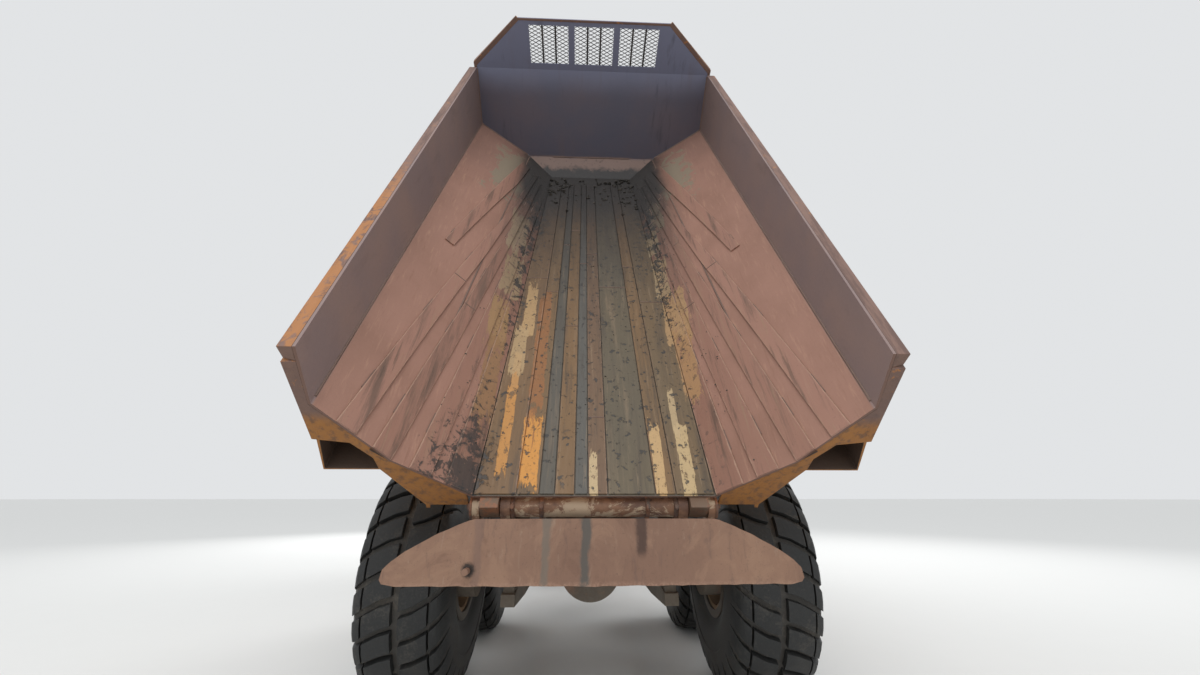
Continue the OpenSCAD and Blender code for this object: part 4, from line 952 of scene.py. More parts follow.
def makeBodyDetails():
    random.seed(41)
    beads = Shape()
    for side in (-1, 1):
        for corner in (2, 1):
            beads.piped([bedPlace @ (wallPoint(corner, 0.01 + 0.98 * i / seams["step"], 0.001, side)
                                     + Vector((0, 0, 0.001 * wave(i, corner, 0.9, side))))
                         for i in range(seams["step"] + 1)], seams["radius"], 6)
        # front wall's corner, up to the rail
        beads.piped([bedPlace @ wallPoint(1.05 + 1.93 * i / seams["wallSteps"], 0.9985, 0.003, side)
                     for i in range(seams["wallSteps"] + 1)], seams["radius"], 6)
    foot = bed["frontFoot"]
    beads.piped([onBed(-0.46 + 0.92 * i / seams["wallSteps"], frontFace(foot) - 0.004 + 0.002 * wave(i, 1, 0.8),
                       foot + 0.003) for i in range(seams["wallSteps"] + 1)], 0.006, 6)
    beads.done("bodyWelds", "bed", "weld", "bed_steel", smooth=60)

    mud = Shape()
    for i in range(seams["mudLumps"]):
        # most of it lies where the floor meets the front wall and the slopes
        if i % 3:
            along = 4.05 - abs(random.gauss(0, 0.34))
            reach = bed["floorRear"] + (bed["floorFront"] - bed["floorRear"]) * along / bed["length"]
            x = (random.choice((-1, 1)) * (reach - abs(random.gauss(0, 0.12))) if i % 2
                 else random.uniform(-reach, reach))
            size = random.uniform(0.008, 0.03)
        else:
            along, size = random.uniform(0.1, 3.6), random.uniform(0.004, 0.011)
            x = random.uniform(-0.55, 0.55)
        spot = onBed(x, min(along, 4.04), bed["rise"] + strips["thick"])
        mud.lump(spot, (size, size * random.uniform(0.8, 1.5), size * 0.45), i * 0.37, 2 if size > 0.012 else 1)
    for i in range(seams["crumbs"]):
        side = random.choice((-1, 1))
        t = random.uniform(0.02, 0.9) if i % 2 else random.uniform(0.72, 0.95)
        spot = bedPlace @ wallPoint(random.uniform(0.02, 0.75), t, strips["thick"] * 0.9, side)
        size = random.uniform(0.004, 0.010)
        mud.lump(spot, (size, size, size * 0.7), i * 0.53, 1)
    for i in range(seams["tubeLumps"]):
        # the rear cross tube
        spot = (random.choice((-1, 1)) * random.uniform(0.05, 0.46), hinge.y - 0.035 * random.uniform(0, 1),
                hinge.z + 0.052)
        size = random.uniform(0.006, 0.016)
        mud.lump(spot, (size * 1.5, size, size * 0.6), i * 0.71, 1)
    mud.done("driedMud", "bed", "mud", "bed_steel", smooth=80)


makeBodyDetails()
print("stage: body's plates, welds and mud made")


def makeWindowMesh():
    rail = wallPoint(3, 1)
    fold = math.atan2(bed["topBack"], bed["frontTop"] - rail.z)
    place = bedPlace @ Matrix.Translation((0, rail.y + bed["frontGap"], rail.z)) @ Matrix.Rotation(fold, 4, "X")
    shape = Shape(place)
    w, h = windows["wide"] / 2 + windows["edge"], windows["high"] + windows["edge"] * 2
    depth, foot = bed["plate"] + 0.0004, windows["low"] - windows["edge"]
    cell, thick, wide = windows["cellWide"], windows["strand"], windows["strandWide"]
    run = h * cell / windows["cellHigh"]  # how far a whole strand goes across
    for i in (-1, 0, 1):
        middle = i * windows["pitch"]
        for way in (-1, 1):
            for k in range(-1, int((2 * w + run) / cell) + 2):
                start = -w + k * cell - run
                low, high = max(0.0, (-w - start) / run), min(1.0, (w - start) / run)  # cut off at the frame
                if high - low < 0.02:
                    continue
                a, b = (Vector((middle + way * (start + run * share), 0, foot + h * share)) for share in (low, high))
                lift = Vector((0, depth + thick * (1.0 if way > 0 else 1.8), 0))
                turn = (b - a).to_track_quat("Z", "Y").to_matrix().to_4x4()
                half = (b - a).length / 2
                shape.box((-wide, -thick, -half), (wide, thick, half),
                          place=Matrix.Translation((a + b) / 2 + lift) @ turn)
        for x in (middle - windows["wide"] / 6, middle + windows["wide"] / 6):
            shape.box((x - 0.009, depth + 0.005, foot), (x + 0.009, depth + 0.017, foot + h), 0.002)
        for z in (foot, foot + h):
            shape.box((middle - w, depth, z - 0.006), (middle + w, depth + 0.007, z + 0.006), 0.0015)
        for x in (middle - w, middle + w):
            shape.box((x - 0.006, depth, foot), (x + 0.006, depth + 0.007, foot + h), 0.0015)
    shape.done("windowMesh", "bed", "mesh", "front_wall", ("headboard_mesh",))


makeWindowMesh()

# deflector between the frame's tails: half outline, x and metres below the hinge
deflector = {"outline": [(0.0, 0.058), (0.66, 0.060), (0.677, 0.065), (0.85, 0.140), (0.985, 0.212), (1.055, 0.262),
                         (1.092, 0.300), (1.1, 0.348)],
             "low": [(0.0, 0.386), (1.02, 0.380), (1.085, 0.370), (1.1, 0.349)],
             "half": 1.1, "back": 0.174, "thick": 0.012, "hole": 0.017, "feet": (-0.595, -0.15, 0.15, 0.595)}


def alongTable(table, x):
    for (a, va), (b, vb) in zip(table, table[1:]):
        if x <= b:
            return va + (vb - va) * (x - a) / (b - a)
    return table[-1][1]


def makeDeflector():
    shape = Shape()

    def place(u, v, w):
        # closer columns towards the tips
        x = deflector["half"] * math.sin((u - 0.5) * math.pi)
        top = alongTable(deflector["outline"], abs(x)) + 0.004 * (0.5 + wave(x * 7, 1.5, 2.0)) * (abs(x) > 0.66)
        low = alongTable(deflector["low"], abs(x)) - 0.004 * (0.5 + wave(x * 9, 7.5, 2.2))
        z = hinge.z - (top + (low - top) * (1 - v))
        dent = 0.0035 * wave(x * 3, z * 5, 1.4, 2.0)
        return Vector((x, hinge.y - deflector["back"] + deflector["thick"] * w + dent, z))

    shape.slab(96, 12, place)
    for x in deflector["feet"]:
        shape.box((x - 0.03, hinge.y - 0.163, hinge.z - 0.220), (x + 0.03, hinge.y + 0.0995, hinge.z - 0.160), 0.003)
    bmesh.ops.remove_doubles(shape.bm, verts=shape.bm.verts, dist=0.0004)
    piece = shape.done("deflectorPlate", "rear_frame", "wornPlate", "worn_plate", ("deflector_plate",))
    # burnt hole through the left half
    x, z = burntHole
    cutter = Shape()
    cutter.bar((x, hinge.y - 0.25, z), (x, hinge.y - 0.1, z), deflector["hole"], 9)
    cutOut(piece, cutter)
    softEdges(piece, 0.002)


makeDeflector()
print("stage: window meshes and deflector made")

# tyres: x outwards from the wheel's middle
tyre = {"lugs": 30, "width": 0.58, "rimRadius": 0.318, "groove": 0.25,
        # along a lug from the shoulder to the middle: place across, radius, lead in pitches
        "lug": [(0.284, 0.632, -1.02), (0.272, 0.712, -0.90), (0.246, 0.762, -0.72), (0.19, 0.7825, -0.46),
                (0.10, 0.7875, -0.20), (0.022, 0.7895, 0.0)],
        "carcass": [(0.0, 0.748), (0.10, 0.7465), (0.19, 0.741), (0.246, 0.722), (0.268, 0.690), (0.278, 0.650),
                    (0.286, 0.610), (0.2885, 0.560), (0.283, 0.552), (0.2845, 0.500), (0.272, 0.440), (0.255, 0.395),
                    (0.250, 0.388), (0.246, 0.362), (0.236, 0.345), (0.231, 0.3195)]}


def lugPoint(run):
    # run 0 at the shoulder's foot, 1 at the tyre's middle
    table = tyre["lug"]
    spot = run * (len(table) - 1)
    i = min(int(spot), len(table) - 2)
    a, b = Vector(table[i]), Vector(table[i + 1])
    return a.lerp(b, spot - i)


def wheelPlace(name):
    return Matrix.Translation(wheels[name]) @ Matrix.Diagonal((1 if wheels[name].x > 0 else -1, 1, 1, 1))


def makeTyre(name):
    shape = Shape(wheelPlace(name))
    half = tyre["carcass"]
    bead = (tyre["width"] / 2 - 0.0605, tyre["rimRadius"] + 0.0002)
    profile = [(-bead[0], bead[1])] + [(-x, r) for x, r in reversed(half)] + half[1:] + [bead]
    shape.spun(profile + [profile[0]], 80)
    for v in shape.bm.verts:
        v[shape.tone] = 1.0 if (v.co.y ** 2 + v.co.z ** 2) ** 0.5 > 0.70 else 0.35
    pitch = 2 * math.pi / tyre["lugs"]
    for row in (-1, 1):
        for i in range(tyre["lugs"]):
            for first, last, across in ((0.0, 0.565, 4), (0.605, 1.0, 2)):
                def place(u, v, w):
                    x, radius, lead = lugPoint(first + (last - first) * u)
                    edge = tyre["groove"] - 0.03 * (1 - w)
                    turn = edge + (1 - edge + 0.03 * (1 - w)) * v
                    # the block bows towards the shoulder, and its corners are worn round
                    lead += 0.05 * math.sin(u * math.pi) if last > 0.9 else 0.0
                    wear = 0.0022 * max(0.0, wave(i + v * 2, row + u, 1.3, x)) + 0.004 * (abs(v - 0.5) * 2) ** 6
                    radius -= wear if w else 0.058
                    if row > 0:
                        lead = 0.5 + lead * -0.97
                        turn = 1.24 - turn
                    angle = (i + turn + lead - 0.125) * pitch
                    x *= (0.985 if not w else 1.0) * row
                    return Vector((x, radius * math.cos(angle), radius * math.sin(angle)))
                shape.slab(across, 2, place)
    shape.done("tyre_tread_" + name, "wheel_" + name, "rubber", "tyre", ("tyre_" + name,), bevel=0.004, smooth=35)


# what is bolted to a rim; x outwards from the wheel's middle
wheelParts = {"nuts": 16, "nutCircle": 0.236, "hubBolts": 12, "hubCircle": 0.160, "capBolts": 6, "capCircle": 0.098}


def makeWheelParts(name):
    shape = Shape(wheelPlace(name))
    out = tyre["width"] / 2
    for x, way in ((out - 0.053, 1), (-out + 0.053, -1)):
        shape.spun([(x - 0.010 * way, 0.296), (x + 0.009 * way, 0.296), (x + 0.012 * way, 0.325),
                    (x + 0.009 * way, 0.349), (x + 0.001 * way, 0.349), (x - 0.003 * way, 0.3235),
                    (x - 0.010 * way, 0.296)], 64)
    for count, circle, x, size in ((wheelParts["nuts"], wheelParts["nutCircle"], 0.090, 0.013),
                                   (wheelParts["hubBolts"], wheelParts["hubCircle"], 0.200, 0.010),
                                   (wheelParts["capBolts"], wheelParts["capCircle"], 0.249, 0.008)):
        for i in range(count):
            a = i * 2 * math.pi / count
            centre = (x, circle * math.cos(a), circle * math.sin(a))
            shape.bolt(centre, (1, 0, 0), size, size * 1.3)
            if x < 0.1:
                shape.bar((x + 0.015, centre[1], centre[2]), (x + 0.030, centre[1], centre[2]), size * 0.5, 8)
    shape.spun([(0.199, 0.170), (0.199, 0.188), (0.207, 0.186), (0.207, 0.172), (0.199, 0.170)], 48)
    shape.box((0.248, -0.012, -0.012), (0.262, 0.012, 0.012), 0.002)
    shape.piped([(0.13, 0.0, 0.262), (0.15, 0.0, 0.262), (0.175, 0.0, 0.268), (0.195, 0.0, 0.275)], 0.006, 8)
    shape.done("wheelNuts_" + name, "wheel_" + name, "bolt", "dark_steel")


for name in wheels:
    makeTyre(name)
    makeWheelParts(name)
print("stage: tyres and wheel bolts made")

# rear frame: keeper plates, caps and bolts round the body's hinge, clamp rings on the cross tube and bolts along the
# beams
frameParts = {"keeper": (0.694, 0.712), "keeperSize": 0.062, "capRadius": 0.074}


def makeFrameParts():
    shape = Shape()
    y, z = hinge.y, hinge.z
    for side in (-1, 1):
        inner, outer = frameParts["keeper"]
        size, shift = frameParts["keeperSize"], 0.004 * (side > 0)
        shape.bar((side * 0.6865, y, z), (side * 0.7005, y, z), frameParts["capRadius"], 40)
        shape.box((inner * side - shift, y - size, z - 0.02), (outer * side - shift, y + size, z + 0.02), 0.003)
        for along in (-0.045, 0.045):
            shape.bolt((side * 0.709, y + along, z), (side, 0, 0), 0.010, 0.010)
        # clamps on the cross tube, beside the ears
        for x in (0.462, 0.30):
            shape.hoop(0.012, 0.0585, 0.066, Matrix.Translation((side * x, y, z)))
            shape.box((side * x - 0.011, y - 0.088, z - 0.012), (side * x + 0.011, y - 0.060, z + 0.012), 0.002)
            shape.bolt((side * x, y - 0.074, z + 0.012), (0, 0, 1), 0.007, 0.009)
            shape.bolt((side * x, y - 0.074, z - 0.012), (0, 0, -1), 0.007, 0.009)
        # rows of bolts along the beams
        for along in range(7):
            for first in (wheels["rear_left"].y - 0.55, wheels["middle_left"].y - 0.30):
                shape.bolt((side * 0.4802, first + 0.10 * along, 1.02), (side, 0, 0), 0.011, 0.010)
    shape.done("hingeKeepers", "rear_frame", "hingeSteel", "dark_steel", bevel=0.0015)


makeFrameParts()


# front unit: its shapes are made in metres ahead of the front axle
frontPlace = Matrix.Translation((0, frontY, 0))
cab = {"half": 0.75, "back": -0.94, "front": 0.54, "floor": 1.70, "roof": 3.33, "knee": 2.32, "lean": 0.19,
       "seal": 0.011}


def ringOf(shape, corners, radius):
    # rubber seal or tube round a window: corners in order, closed by its last side
    for a, b in zip(corners, corners[1:] + corners[:1]):
        shape.bar(a, b, radius, 8)
        shape.bm.verts.ensure_lookup_table()
        bmesh.ops.create_icosphere(shape.bm, subdivisions=1, radius=radius, matrix=Matrix.Translation(a))


def screenY(z, proud=0.0):
    return cab["front"] - cab["lean"] * (z - cab["knee"]) / (cab["roof"] - cab["knee"]) + proud


def makeCabTrim():
    seals = Shape(frontPlace)
    wide = cab["half"] - 0.11
    ringOf(seals, [(x, screenY(z, 0.001), z) for x, z in
                   ((-wide, 2.40), (wide, 2.40), (wide, 3.15), (-wide, 3.15))], cab["seal"])
    side = cab["half"]
    ringOf(seals, [(side, y, z) for y, z in ((-0.52, 2.40), (0.30, 2.40), (0.30, 3.15), (-0.52, 3.15))],
           cab["seal"])
    for way in (-1, 1):
        ringOf(seals, [(side * way, y, z) for y, z in
                       ((-0.82, 2.65), (-0.61, 2.65), (-0.61, 3.13), (-0.82, 3.13))], cab["seal"])
    wide = cab["half"] - 0.13
    ringOf(seals, [(x, cab["back"] + 0.06 * (z - 2.6) / 0.73, z) for x, z in
                   ((-wide, 2.65), (wide, 2.65), (wide, 3.15), (-wide, 3.15))], cab["seal"])
    seals.done("windowSeals", "tractor", "seal", "black_plastic", smooth=60)

    door = Shape(frontPlace)
    ringOf(door, [(-side, y, z) for y, z in ((-0.434, 2.326), (0.214, 2.326), (0.214, 3.134), (-0.434, 3.134))],
           cab["seal"])
    ringOf(door, [(-side + 0.004, y, z) for y, z in
                  ((-0.507, 1.772), (0.287, 1.772), (0.287, 3.207), (-0.507, 3.207))], 0.006)
    # handle in a recess plate, and a grab bar
    door.box((-side - 0.006, 0.12, 2.10), (-side + 0.002, 0.26, 2.20), 0.004)
    door.piped([(-side - 0.004, 0.13, 2.15), (-side - 0.03, 0.14, 2.15),
                (-side - 0.03, 0.23, 2.15), (-side - 0.004, 0.245, 2.15)], 0.008, 8)
    door.piped([(-side + 0.002, -0.44, 1.9), (-side - 0.035, -0.43, 1.93),
                (-side - 0.035, -0.43, 2.22), (-side + 0.002, -0.44, 2.25)], 0.011, 8)
    door.done("doorTrim", "cab_door", "seal", "black_plastic", smooth=60)

    trim = Shape(frontPlace)
    # rain gutter and roof ribs
    for way in (-1, 1):
        trim.bar((way * (side - 0.004), cab["back"] + 0.10, 3.325), (way * (side - 0.004), 0.33, 3.325), 0.012, 8)
        for y in (-0.6, -0.3, 0.0):
            trim.box((0.06 * way, y, 3.328), (0.62 * way, y + 0.06, 3.336), 0.003)
    trim.bar((-side + 0.01, 0.338, 3.325), (side - 0.01, 0.338, 3.325), 0.012, 8)
    # work lamps on the roof's front edge and over the rear window
    for x in (-0.56, 0.56):
        trim.box((x - 0.07, 0.30, 3.336), (x + 0.07, 0.36, 3.43), 0.012)
        trim.box((x - 0.07, -0.88, 3.336), (x + 0.07, -0.82, 3.43), 0.012)
        trim.bar((x, 0.33, 3.32), (x, 0.33, 3.35), 0.012, 8)
        trim.bar((x, -0.85, 3.32), (x, -0.85, 3.35), 0.012, 8)
    trim.done("cabRoofTrim", "tractor", "blackPlastic", "black_plastic", smooth=50)

    lamps = Shape(frontPlace)
    for x in (-0.56, 0.56):
        lamps.box((x - 0.06, 0.3595, 3.347), (x + 0.06, 0.367, 3.42), 0.003)
        lamps.box((x - 0.06, -0.887, 3.347), (x + 0.06, -0.8795, 3.42), 0.003)
    lamps.done("roofLamps", "tractor", "lens", "lamp")

    wipers = Shape(frontPlace)
    for x in (-0.3, 0.3):
        foot = Vector((x, screenY(2.36, 0.02), 2.36))
        wipers.bar((x, screenY(2.36, -0.01), 2.36), foot, 0.014, 12)
        tip = Vector((x + 0.22, screenY(2.86, 0.024), 2.86))
        wipers.piped([foot, foot.lerp(tip, 0.5) + Vector((0, 0.012, 0)), tip], 0.006, 8)
        run = (tip - foot).normalized() * 0.24
        wipers.bar(tip - run + Vector((0, -0.010, 0)), tip + run + Vector((0, -0.010, 0)), 0.007, 6)
    wipers.done("wipers", "tractor", "seal", "black_plastic", smooth=60)

    glass = Shape(frontPlace)
    for way in (-1, 1):
        low, high = sorted((way * 1.155, way * 1.345))
        glass.slab(8, 8, lambda u, v, w: (
            low + (high - low) * u, 0.3995 - 0.004 * (1 - (2 * u - 1) ** 2) * (1 - (2 * v - 1) ** 2) + 0.002 * w,
            2.225 + 0.39 * v))
    glass.done("mirrorGlass", "tractor", "mirror", "glass")


makeCabTrim()

# hood, grille, steps, tank, bumper and exhaust
nose = {"half": 0.65, "tip": 2.42, "bend": 1.30, "slope": 0.12 / 0.26, "grille": 0.47, "grilleZ": (1.13, 1.50),
        "bars": 8, "louvres": 9, "bumper": 2.55, "lampAt": (0.9, 0.76), "exhaustAt": (0.805, 0.40), "guard": 0.066}


def makeFrontTrim():
    net = Shape(frontPlace)

    def face(z):
        return nose["tip"] - max(0.0, z - nose["bend"]) * nose["slope"]

    # grille: a dark field, its bars and frame, and the louvres on the sides
    low, high = nose["grilleZ"]
    for z0, z1 in ((low, nose["bend"]), (nose["bend"], high)):
        ring = [(face(z0) - 0.004, z0), (face(z0) + 0.002, z0), (face(z1) + 0.002, z1), (face(z1) - 0.004, z1)]
        field = [net.bm.verts.new((x, y, z)) for x in (-nose["grille"], nose["grille"]) for y, z in ring]
        for quad in ((0, 1, 2, 3), (7, 6, 5, 4), (0, 4, 5, 1), (1, 5, 6, 2), (2, 6, 7, 3), (3, 7, 4, 0)):
            net.bm.faces.new([field[i] for i in quad])
    reach = nose["grille"] + 0.012
    for i in range(nose["bars"]):
        z = low + (high - low) * i / (nose["bars"] - 1)
        y = face(z) + 0.004
        net.box((-reach, y - 0.008, z - 0.007), (reach, y + 0.012, z + 0.007), 0.003)
    for x in (-nose["grille"], -nose["grille"] / 3, nose["grille"] / 3, nose["grille"]):
        net.piped([(x, face(z) + 0.010, z) for z in (low, nose["bend"], high)], 0.010, 8)
    for way in (-1, 1):
        side = way * nose["half"]
        for k in range(nose["louvres"]):
            y = 0.70 + 0.09 * k
            net.box((side - 0.002, y, 1.22), (side + 0.002, y + 0.034, 1.50))
            net.box((side - 0.001 * way, y - 0.003, 1.218), (side + 0.010 * way, y + 0.006, 1.502), 0.002)
    net.done("hoodGrille", "hood", "blackPlastic", "dark_steel", smooth=50)

    hood = Shape(frontPlace)
    for way in (-1, 1):
        x = way * nose["half"]
        # latches, a crease bar and the seam along the lower edge
        for y in (0.66, 1.62):
            hood.box((x, y, 1.115), (x + way * 0.018, y + 0.035, 1.215), 0.005)
            hood.bar((x, y + 0.018, 1.19), (x + way * 0.026, y + 0.018, 1.19), 0.010, 10)
        hood.bar((x, 0.58, 1.098), (x, 2.38, 1.098), 0.007, 8)
        for y in (0.62, 1.46):
            hood.box((x, y, 1.18), (x + way * 0.003, y + 0.02, 1.54), 0.001)
    hood.piped([(-0.10, 2.405, 1.12), (-0.10, 2.45, 1.12), (0.10, 2.45, 1.12), (0.10, 2.405, 1.12)], 0.010, 8)
    hood.done("hoodTrim", "hood", "seal", "black_plastic", smooth=50)

    dark = Shape(frontPlace)
    lampX, lampZ = nose["lampAt"]
    arc = [(math.cos(a * math.pi / 12), math.sin(a * math.pi / 12)) for a in range(7)]
    for way in (-1, 1):
        # corner step on two posts, and the handrail over it
        dark.box((0.98 * way, 1.0, 1.41), (1.40 * way, 1.22, 1.44), 0.004)
        for x in (1.0, 1.36):
            dark.box((x * way, 1.08, 1.17), ((x + 0.02) * way, 1.16, 1.42), 0.003)
        bend = [(1.02 + 0.09 * c, 2.03 + 0.09 * s) for c, s in arc]
        bend += [(0.61 - 0.09 * s, 2.03 + 0.09 * c) for c, s in arc]
        dark.piped([(1.384 * way, y, z) for y, z in [(1.11, 1.438), *bend, (0.52, 1.68)]], 0.016, 12)
        for x in (0.38, 0.52, 1.08, 1.15):
            for z in (0.66, 0.86):
                dark.bolt((x * way, nose["bumper"], z), (0, 1, 0), 0.011, 0.012)
        # rings round the lamp and its middle: back, front, crest, rim, radii
        for back, front, crest, rim, r0, r1 in ((-0.004, 0.024, 0.027, 0.024, 0.0905, 0.1025),
                                                (0.026, 0.028, 0.0295, 0.029, 0.030, 0.038)):
            place = Matrix.Translation((lampX * way, nose["bumper"], lampZ)) @ Matrix.Rotation(math.pi / 2, 4, "Z")
            dark.spun([(back, r0), (front, r0), (crest, (r0 + r1) / 2), (rim, r1), (back, r1), (back, r0)], 40, place)
        # treads of the steps: raised teeth
        for z, x0, x1, y0, y1 in ((0.590, 0.93, 1.37, 1.02, 1.22), (0.890, 0.93, 1.37, 1.02, 1.22),
                                  (1.180, 0.93, 1.39, 0.98, 1.22), (1.440, 1.0, 1.39, 1.02, 1.07)):
            for i in range(7):
                for k in range(max(1, int((y1 - y0) / 0.05))):
                    x, y = way * (x0 + 0.03 + (x1 - x0 - 0.06) * i / 6), y0 + 0.02 + 0.05 * k
                    dark.bar((x, y, z - 0.001), (x, y, z + 0.005), 0.014, 8, 0.009)
        # straps round the tank and its cap
        for along in (1.08, 1.74):
            for x, z0, z1 in ((0.4505, 1.0395, 1.0425), (0.4505, 0.5575, 0.5605), (0.8995, 0.5575, 1.0425)):
                dark.box((way * x, along, z0), (way * 0.9025, along + 0.05, z1), 0.001)
        dark.bar((way * 0.70, 1.40, 1.038), (way * 0.70, 1.40, 1.075), 0.055, 24, 0.050)
        dark.box((way * 0.70 - 0.035, 1.388, 1.073), (way * 0.70 + 0.035, 1.412, 1.09), 0.004)
        # rubber lips along the mudguards
        dark.piped([(way * 1.444, y, z) for y, z in
                    ((-0.665, 1.668), (-0.3, 1.672), (0.3, 1.672), (0.62, 1.668), (0.925, 1.305))], 0.006, 6)
    dark.done("frontSteelTrim", "tractor", "bolt", "dark_steel", smooth=50)

    pipe = Shape(frontPlace)
    (x, y), away = nose["exhaustAt"], nose["guard"]
    upright = Matrix.Rotation(math.pi / 2, 4, "Y")
    for z in (2.05, 2.40, 2.75):
        pipe.hoop(0.018, 0.0515, 0.056, Matrix.Translation((x, y, z)) @ upright)
    # heat guard: slotted half shell beside the muffler
    for k in range(16):
        for a in range(-2, 3):
            angle = math.radians(a * 26)
            centre = (x + away * math.cos(angle), y + away * math.sin(angle), 2.1 + 0.04 * k)
            pipe.box((-0.0012, -0.0125, -0.014), (0.0012, 0.0125, 0.014),
                     place=Matrix.Translation(centre) @ Matrix.Rotation(angle, 4, "Z"))
    for a in range(-2, 4):
        angle = math.radians(a * 26 - 13)
        centre = (x + away * math.cos(angle), y + away * math.sin(angle), 2.4)
        pipe.box((-0.0016, -0.0035, -0.33), (0.0016, 0.0035, 0.33),
                 place=Matrix.Translation(centre) @ Matrix.Rotation(angle, 4, "Z"))
    for z in (2.07, 2.73):
        pipe.hoop(0.008, 0.0645, 0.068, Matrix.Translation((x, y, z)) @ upright)
        pipe.box((x + 0.045, y - 0.01, z - 0.008), (x + 0.067, y + 0.01, z + 0.008), 0.001)
    pipe.done("exhaustGuard", "tractor", "soot", "dark_steel", smooth=50)


makeFrontTrim()
print("stage: cab, hood and frame details made")

# seat: a pedestal and two padded cushions in the space of the plain one
seat = {"voxel": 0.009, "pressure": 4.0, "frames": 20, "cap": 0.014, "mass": 0.3}


def puff(piece, seams):
    # cloth under pressure, capped, then sewn lines are drawn in
    scene = bpy.context.scene
    voxels = piece.modifiers.new("voxels", "REMESH")
    voxels.mode, voxels.voxel_size = "VOXEL", seat["voxel"]
    piece.data = bpy.data.meshes.new_from_object(piece.evaluated_get(bpy.context.evaluated_depsgraph_get()))
    piece.modifiers.clear()
    start = [v.co.copy() for v in piece.data.vertices]
    cloth = piece.modifiers.new("cloth", "CLOTH")
    cloth.settings.use_pressure, cloth.settings.uniform_pressure_force = True, seat["pressure"]
    cloth.settings.mass = seat["mass"]
    cloth.settings.effector_weights.gravity = 0.0
    for step in range(1, seat["frames"] + 1):
        scene.frame_set(step)
    made = piece.evaluated_get(bpy.context.evaluated_depsgraph_get()).to_mesh()
    ends = [v.co.copy() for v in made.vertices]
    piece.modifiers.clear()
    scene.frame_set(1)
    for v, a, b in zip(piece.data.vertices, start, ends):
        move = b - a
        v.co = a + (move if move.length < seat["cap"] else move.normalized() * seat["cap"])
    centre = sum((v.co for v in piece.data.vertices), Vector()) / len(piece.data.vertices)
    for v in piece.data.vertices:
        for axis, place in seams:
            near = max(0.0, 1 - abs(v.co[axis] - place) / 0.016)
            v.co += (centre - v.co).normalized() * 0.009 * near ** 2
    piece.data.shade_smooth()
    smooth = piece.modifiers.new("rounder", "SUBSURF")
    smooth.levels = smooth.render_levels = 1


def fromFront(x, y, z):
    return Vector((x, frontY + y, z))


def makeSeat():
    base = Shape(frontPlace)
    base.box((-0.17, -0.60, 1.7456), (0.17, -0.22, 1.79), 0.012)
    for k in range(5):  # folded bellows
        half, z = 0.15 - 0.006 * (k % 2), 1.79 + 0.034 * k
        base.box((-half, -0.57, z), (half, -0.25, z + 0.034), 0.008)
    base.box((-0.21, -0.60, 1.958), (0.21, -0.17, 2.004), 0.012)
    for way in (-1, 1):
        base.piped([(way * 0.235, -0.56, 2.0), (way * 0.26, -0.60, 2.12), (way * 0.27, -0.62, 2.30),
                    (way * 0.27, -0.58, 2.33)], 0.012, 8)
        base.box((way * 0.27 - 0.028, -0.60, 2.32), (way * 0.27 + 0.028, -0.28, 2.365), 0.014)
    base.done("seatBase", "tractor", "blackPlastic", "black_plastic", ("seat",), smooth=50)

    cushion = Shape()
    cushion.rounded(cushion.box(fromFront(-0.235, -0.625, 2.012), fromFront(0.235, -0.155, 2.108)), 0.022, 2)
    puff(cushion.done("seatCushion", "tractor", "cloth", "seat_fabric", ("seat",)),
         [(0, -0.15), (0, 0.15), (1, frontY - 0.30), (1, frontY - 0.44)])
    back = Shape()
    lean = Matrix.Translation(fromFront(0, -0.575, 2.135)) @ Matrix.Rotation(math.radians(8.2), 4, "X")
    back.moved(back.rounded(back.box((-0.225, -0.052, 0.012), (0.225, 0.046, 0.60)), 0.024, 2), lean)
    puff(back.done("seatBack", "tractor", "cloth", "seat_fabric", ("seat",)),
         [(0, -0.145), (0, 0.145), (2, 2.30), (2, 2.42), (2, 2.54)])


makeSeat()
print("stage: seat cushions made")

# studio and camera

studio = {"floor": (214, 214, 212), "light": 1.02, "key": 420.0, "fill": 500.0, "backdrop": (0.80, 0.815, 0.83, 1)}


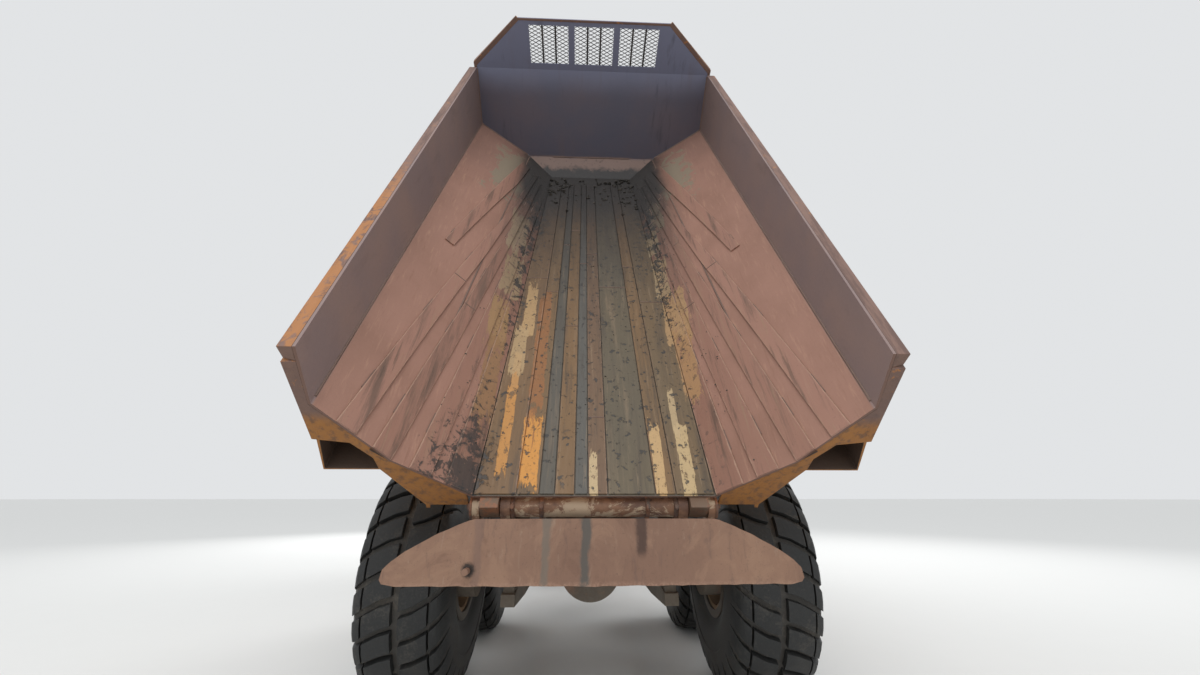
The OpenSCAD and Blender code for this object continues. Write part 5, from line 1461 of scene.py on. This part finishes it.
def makeStudio():
    ground = bmesh.new()
    bmesh.ops.create_grid(ground, x_segments=1, y_segments=1, size=400.0)
    mesh = bpy.data.meshes.new("studioFloor")
    ground.to_mesh(mesh)
    ground.free()
    floor = bpy.data.objects.new("studioFloor", mesh)
    bpy.context.scene.collection.objects.link(floor)
    r = Recipe("studioFloor")
    speck = r.noise(3.0, 5)
    r.colour = r.mix(speck * 0.2, studio["floor"], (204, 204, 202))
    mesh.materials.append(r.finish(0.9))

    world = bpy.data.worlds.new("studio")
    bpy.context.scene.world = world
    world.use_nodes = True
    nodes, links = world.node_tree.nodes, world.node_tree.links
    nodes.clear()
    path = nodes.new("ShaderNodeLightPath")
    seen, both = nodes.new("ShaderNodeMath"), nodes.new("ShaderNodeMath")
    seen.operation = both.operation = "MAXIMUM"
    links.new(path.outputs["Is Camera Ray"], seen.inputs[0])
    links.new(path.outputs["Is Glossy Ray"], both.inputs[0])
    links.new(path.outputs["Is Transmission Ray"], both.inputs[1])
    links.new(both.outputs[0], seen.inputs[1])
    sky, shown = nodes.new("ShaderNodeBackground"), nodes.new("ShaderNodeBackground")
    sky.inputs["Color"].default_value = (0.96, 0.98, 1.0, 1)
    sky.inputs["Strength"].default_value = studio["light"]
    shown.inputs["Color"].default_value = studio["backdrop"]
    shown.inputs["Strength"].default_value = 0.95
    pick, out = nodes.new("ShaderNodeMixShader"), nodes.new("ShaderNodeOutputWorld")
    links.new(seen.outputs[0], pick.inputs[0])
    links.new(sky.outputs[0], pick.inputs[1])
    links.new(shown.outputs[0], pick.inputs[2])
    links.new(pick.outputs[0], out.inputs[0])

    for name, place, aim, power, size in (
            ("keyLight", (-1, -12, 9), (0, -3, 2.5), studio["key"], 6.0),
            ("fillLight", (9, 6, 9), (0, 1, 1.5), studio["fill"], 6.0),
            ("noseLight", (-7, 11, 7), (0, 3, 1.5), studio["fill"], 6.0)):
        lamp = bpy.data.lights.new(name, "AREA")
        lamp.energy, lamp.size = power, size
        holder = bpy.data.objects.new(name, lamp)
        holder.location = place
        holder.rotation_euler = (Vector(aim) - Vector(place)).to_track_quat("-Z", "Y").to_euler()
        bpy.context.scene.collection.objects.link(holder)


# camera found from the corners of the body, the hinge and the tyres, for an image of 1200 x 675
view = {"focalPixels": 465.0, "width": 1200, "place": (-0.088, -7.004, 1.279), "up": 18.98, "right": 2.40}


def makeCamera():
    lens = bpy.data.cameras.new("camera")
    lens.sensor_fit, lens.sensor_width = "HORIZONTAL", 36.0
    lens.lens = view["focalPixels"] / view["width"] * lens.sensor_width
    lens.clip_start, lens.clip_end = 0.05, 900.0
    camera = bpy.data.objects.new("camera", lens)
    camera.location = view["place"]
    camera.rotation_euler = (math.radians(90 + view["up"]), 0, math.radians(-view["right"]))
    bpy.context.scene.collection.objects.link(camera)
    bpy.context.scene.camera = camera


makeStudio()
makeCamera()
bpy.context.scene.view_settings.view_transform = "Standard"
print("stage: studio and camera made")
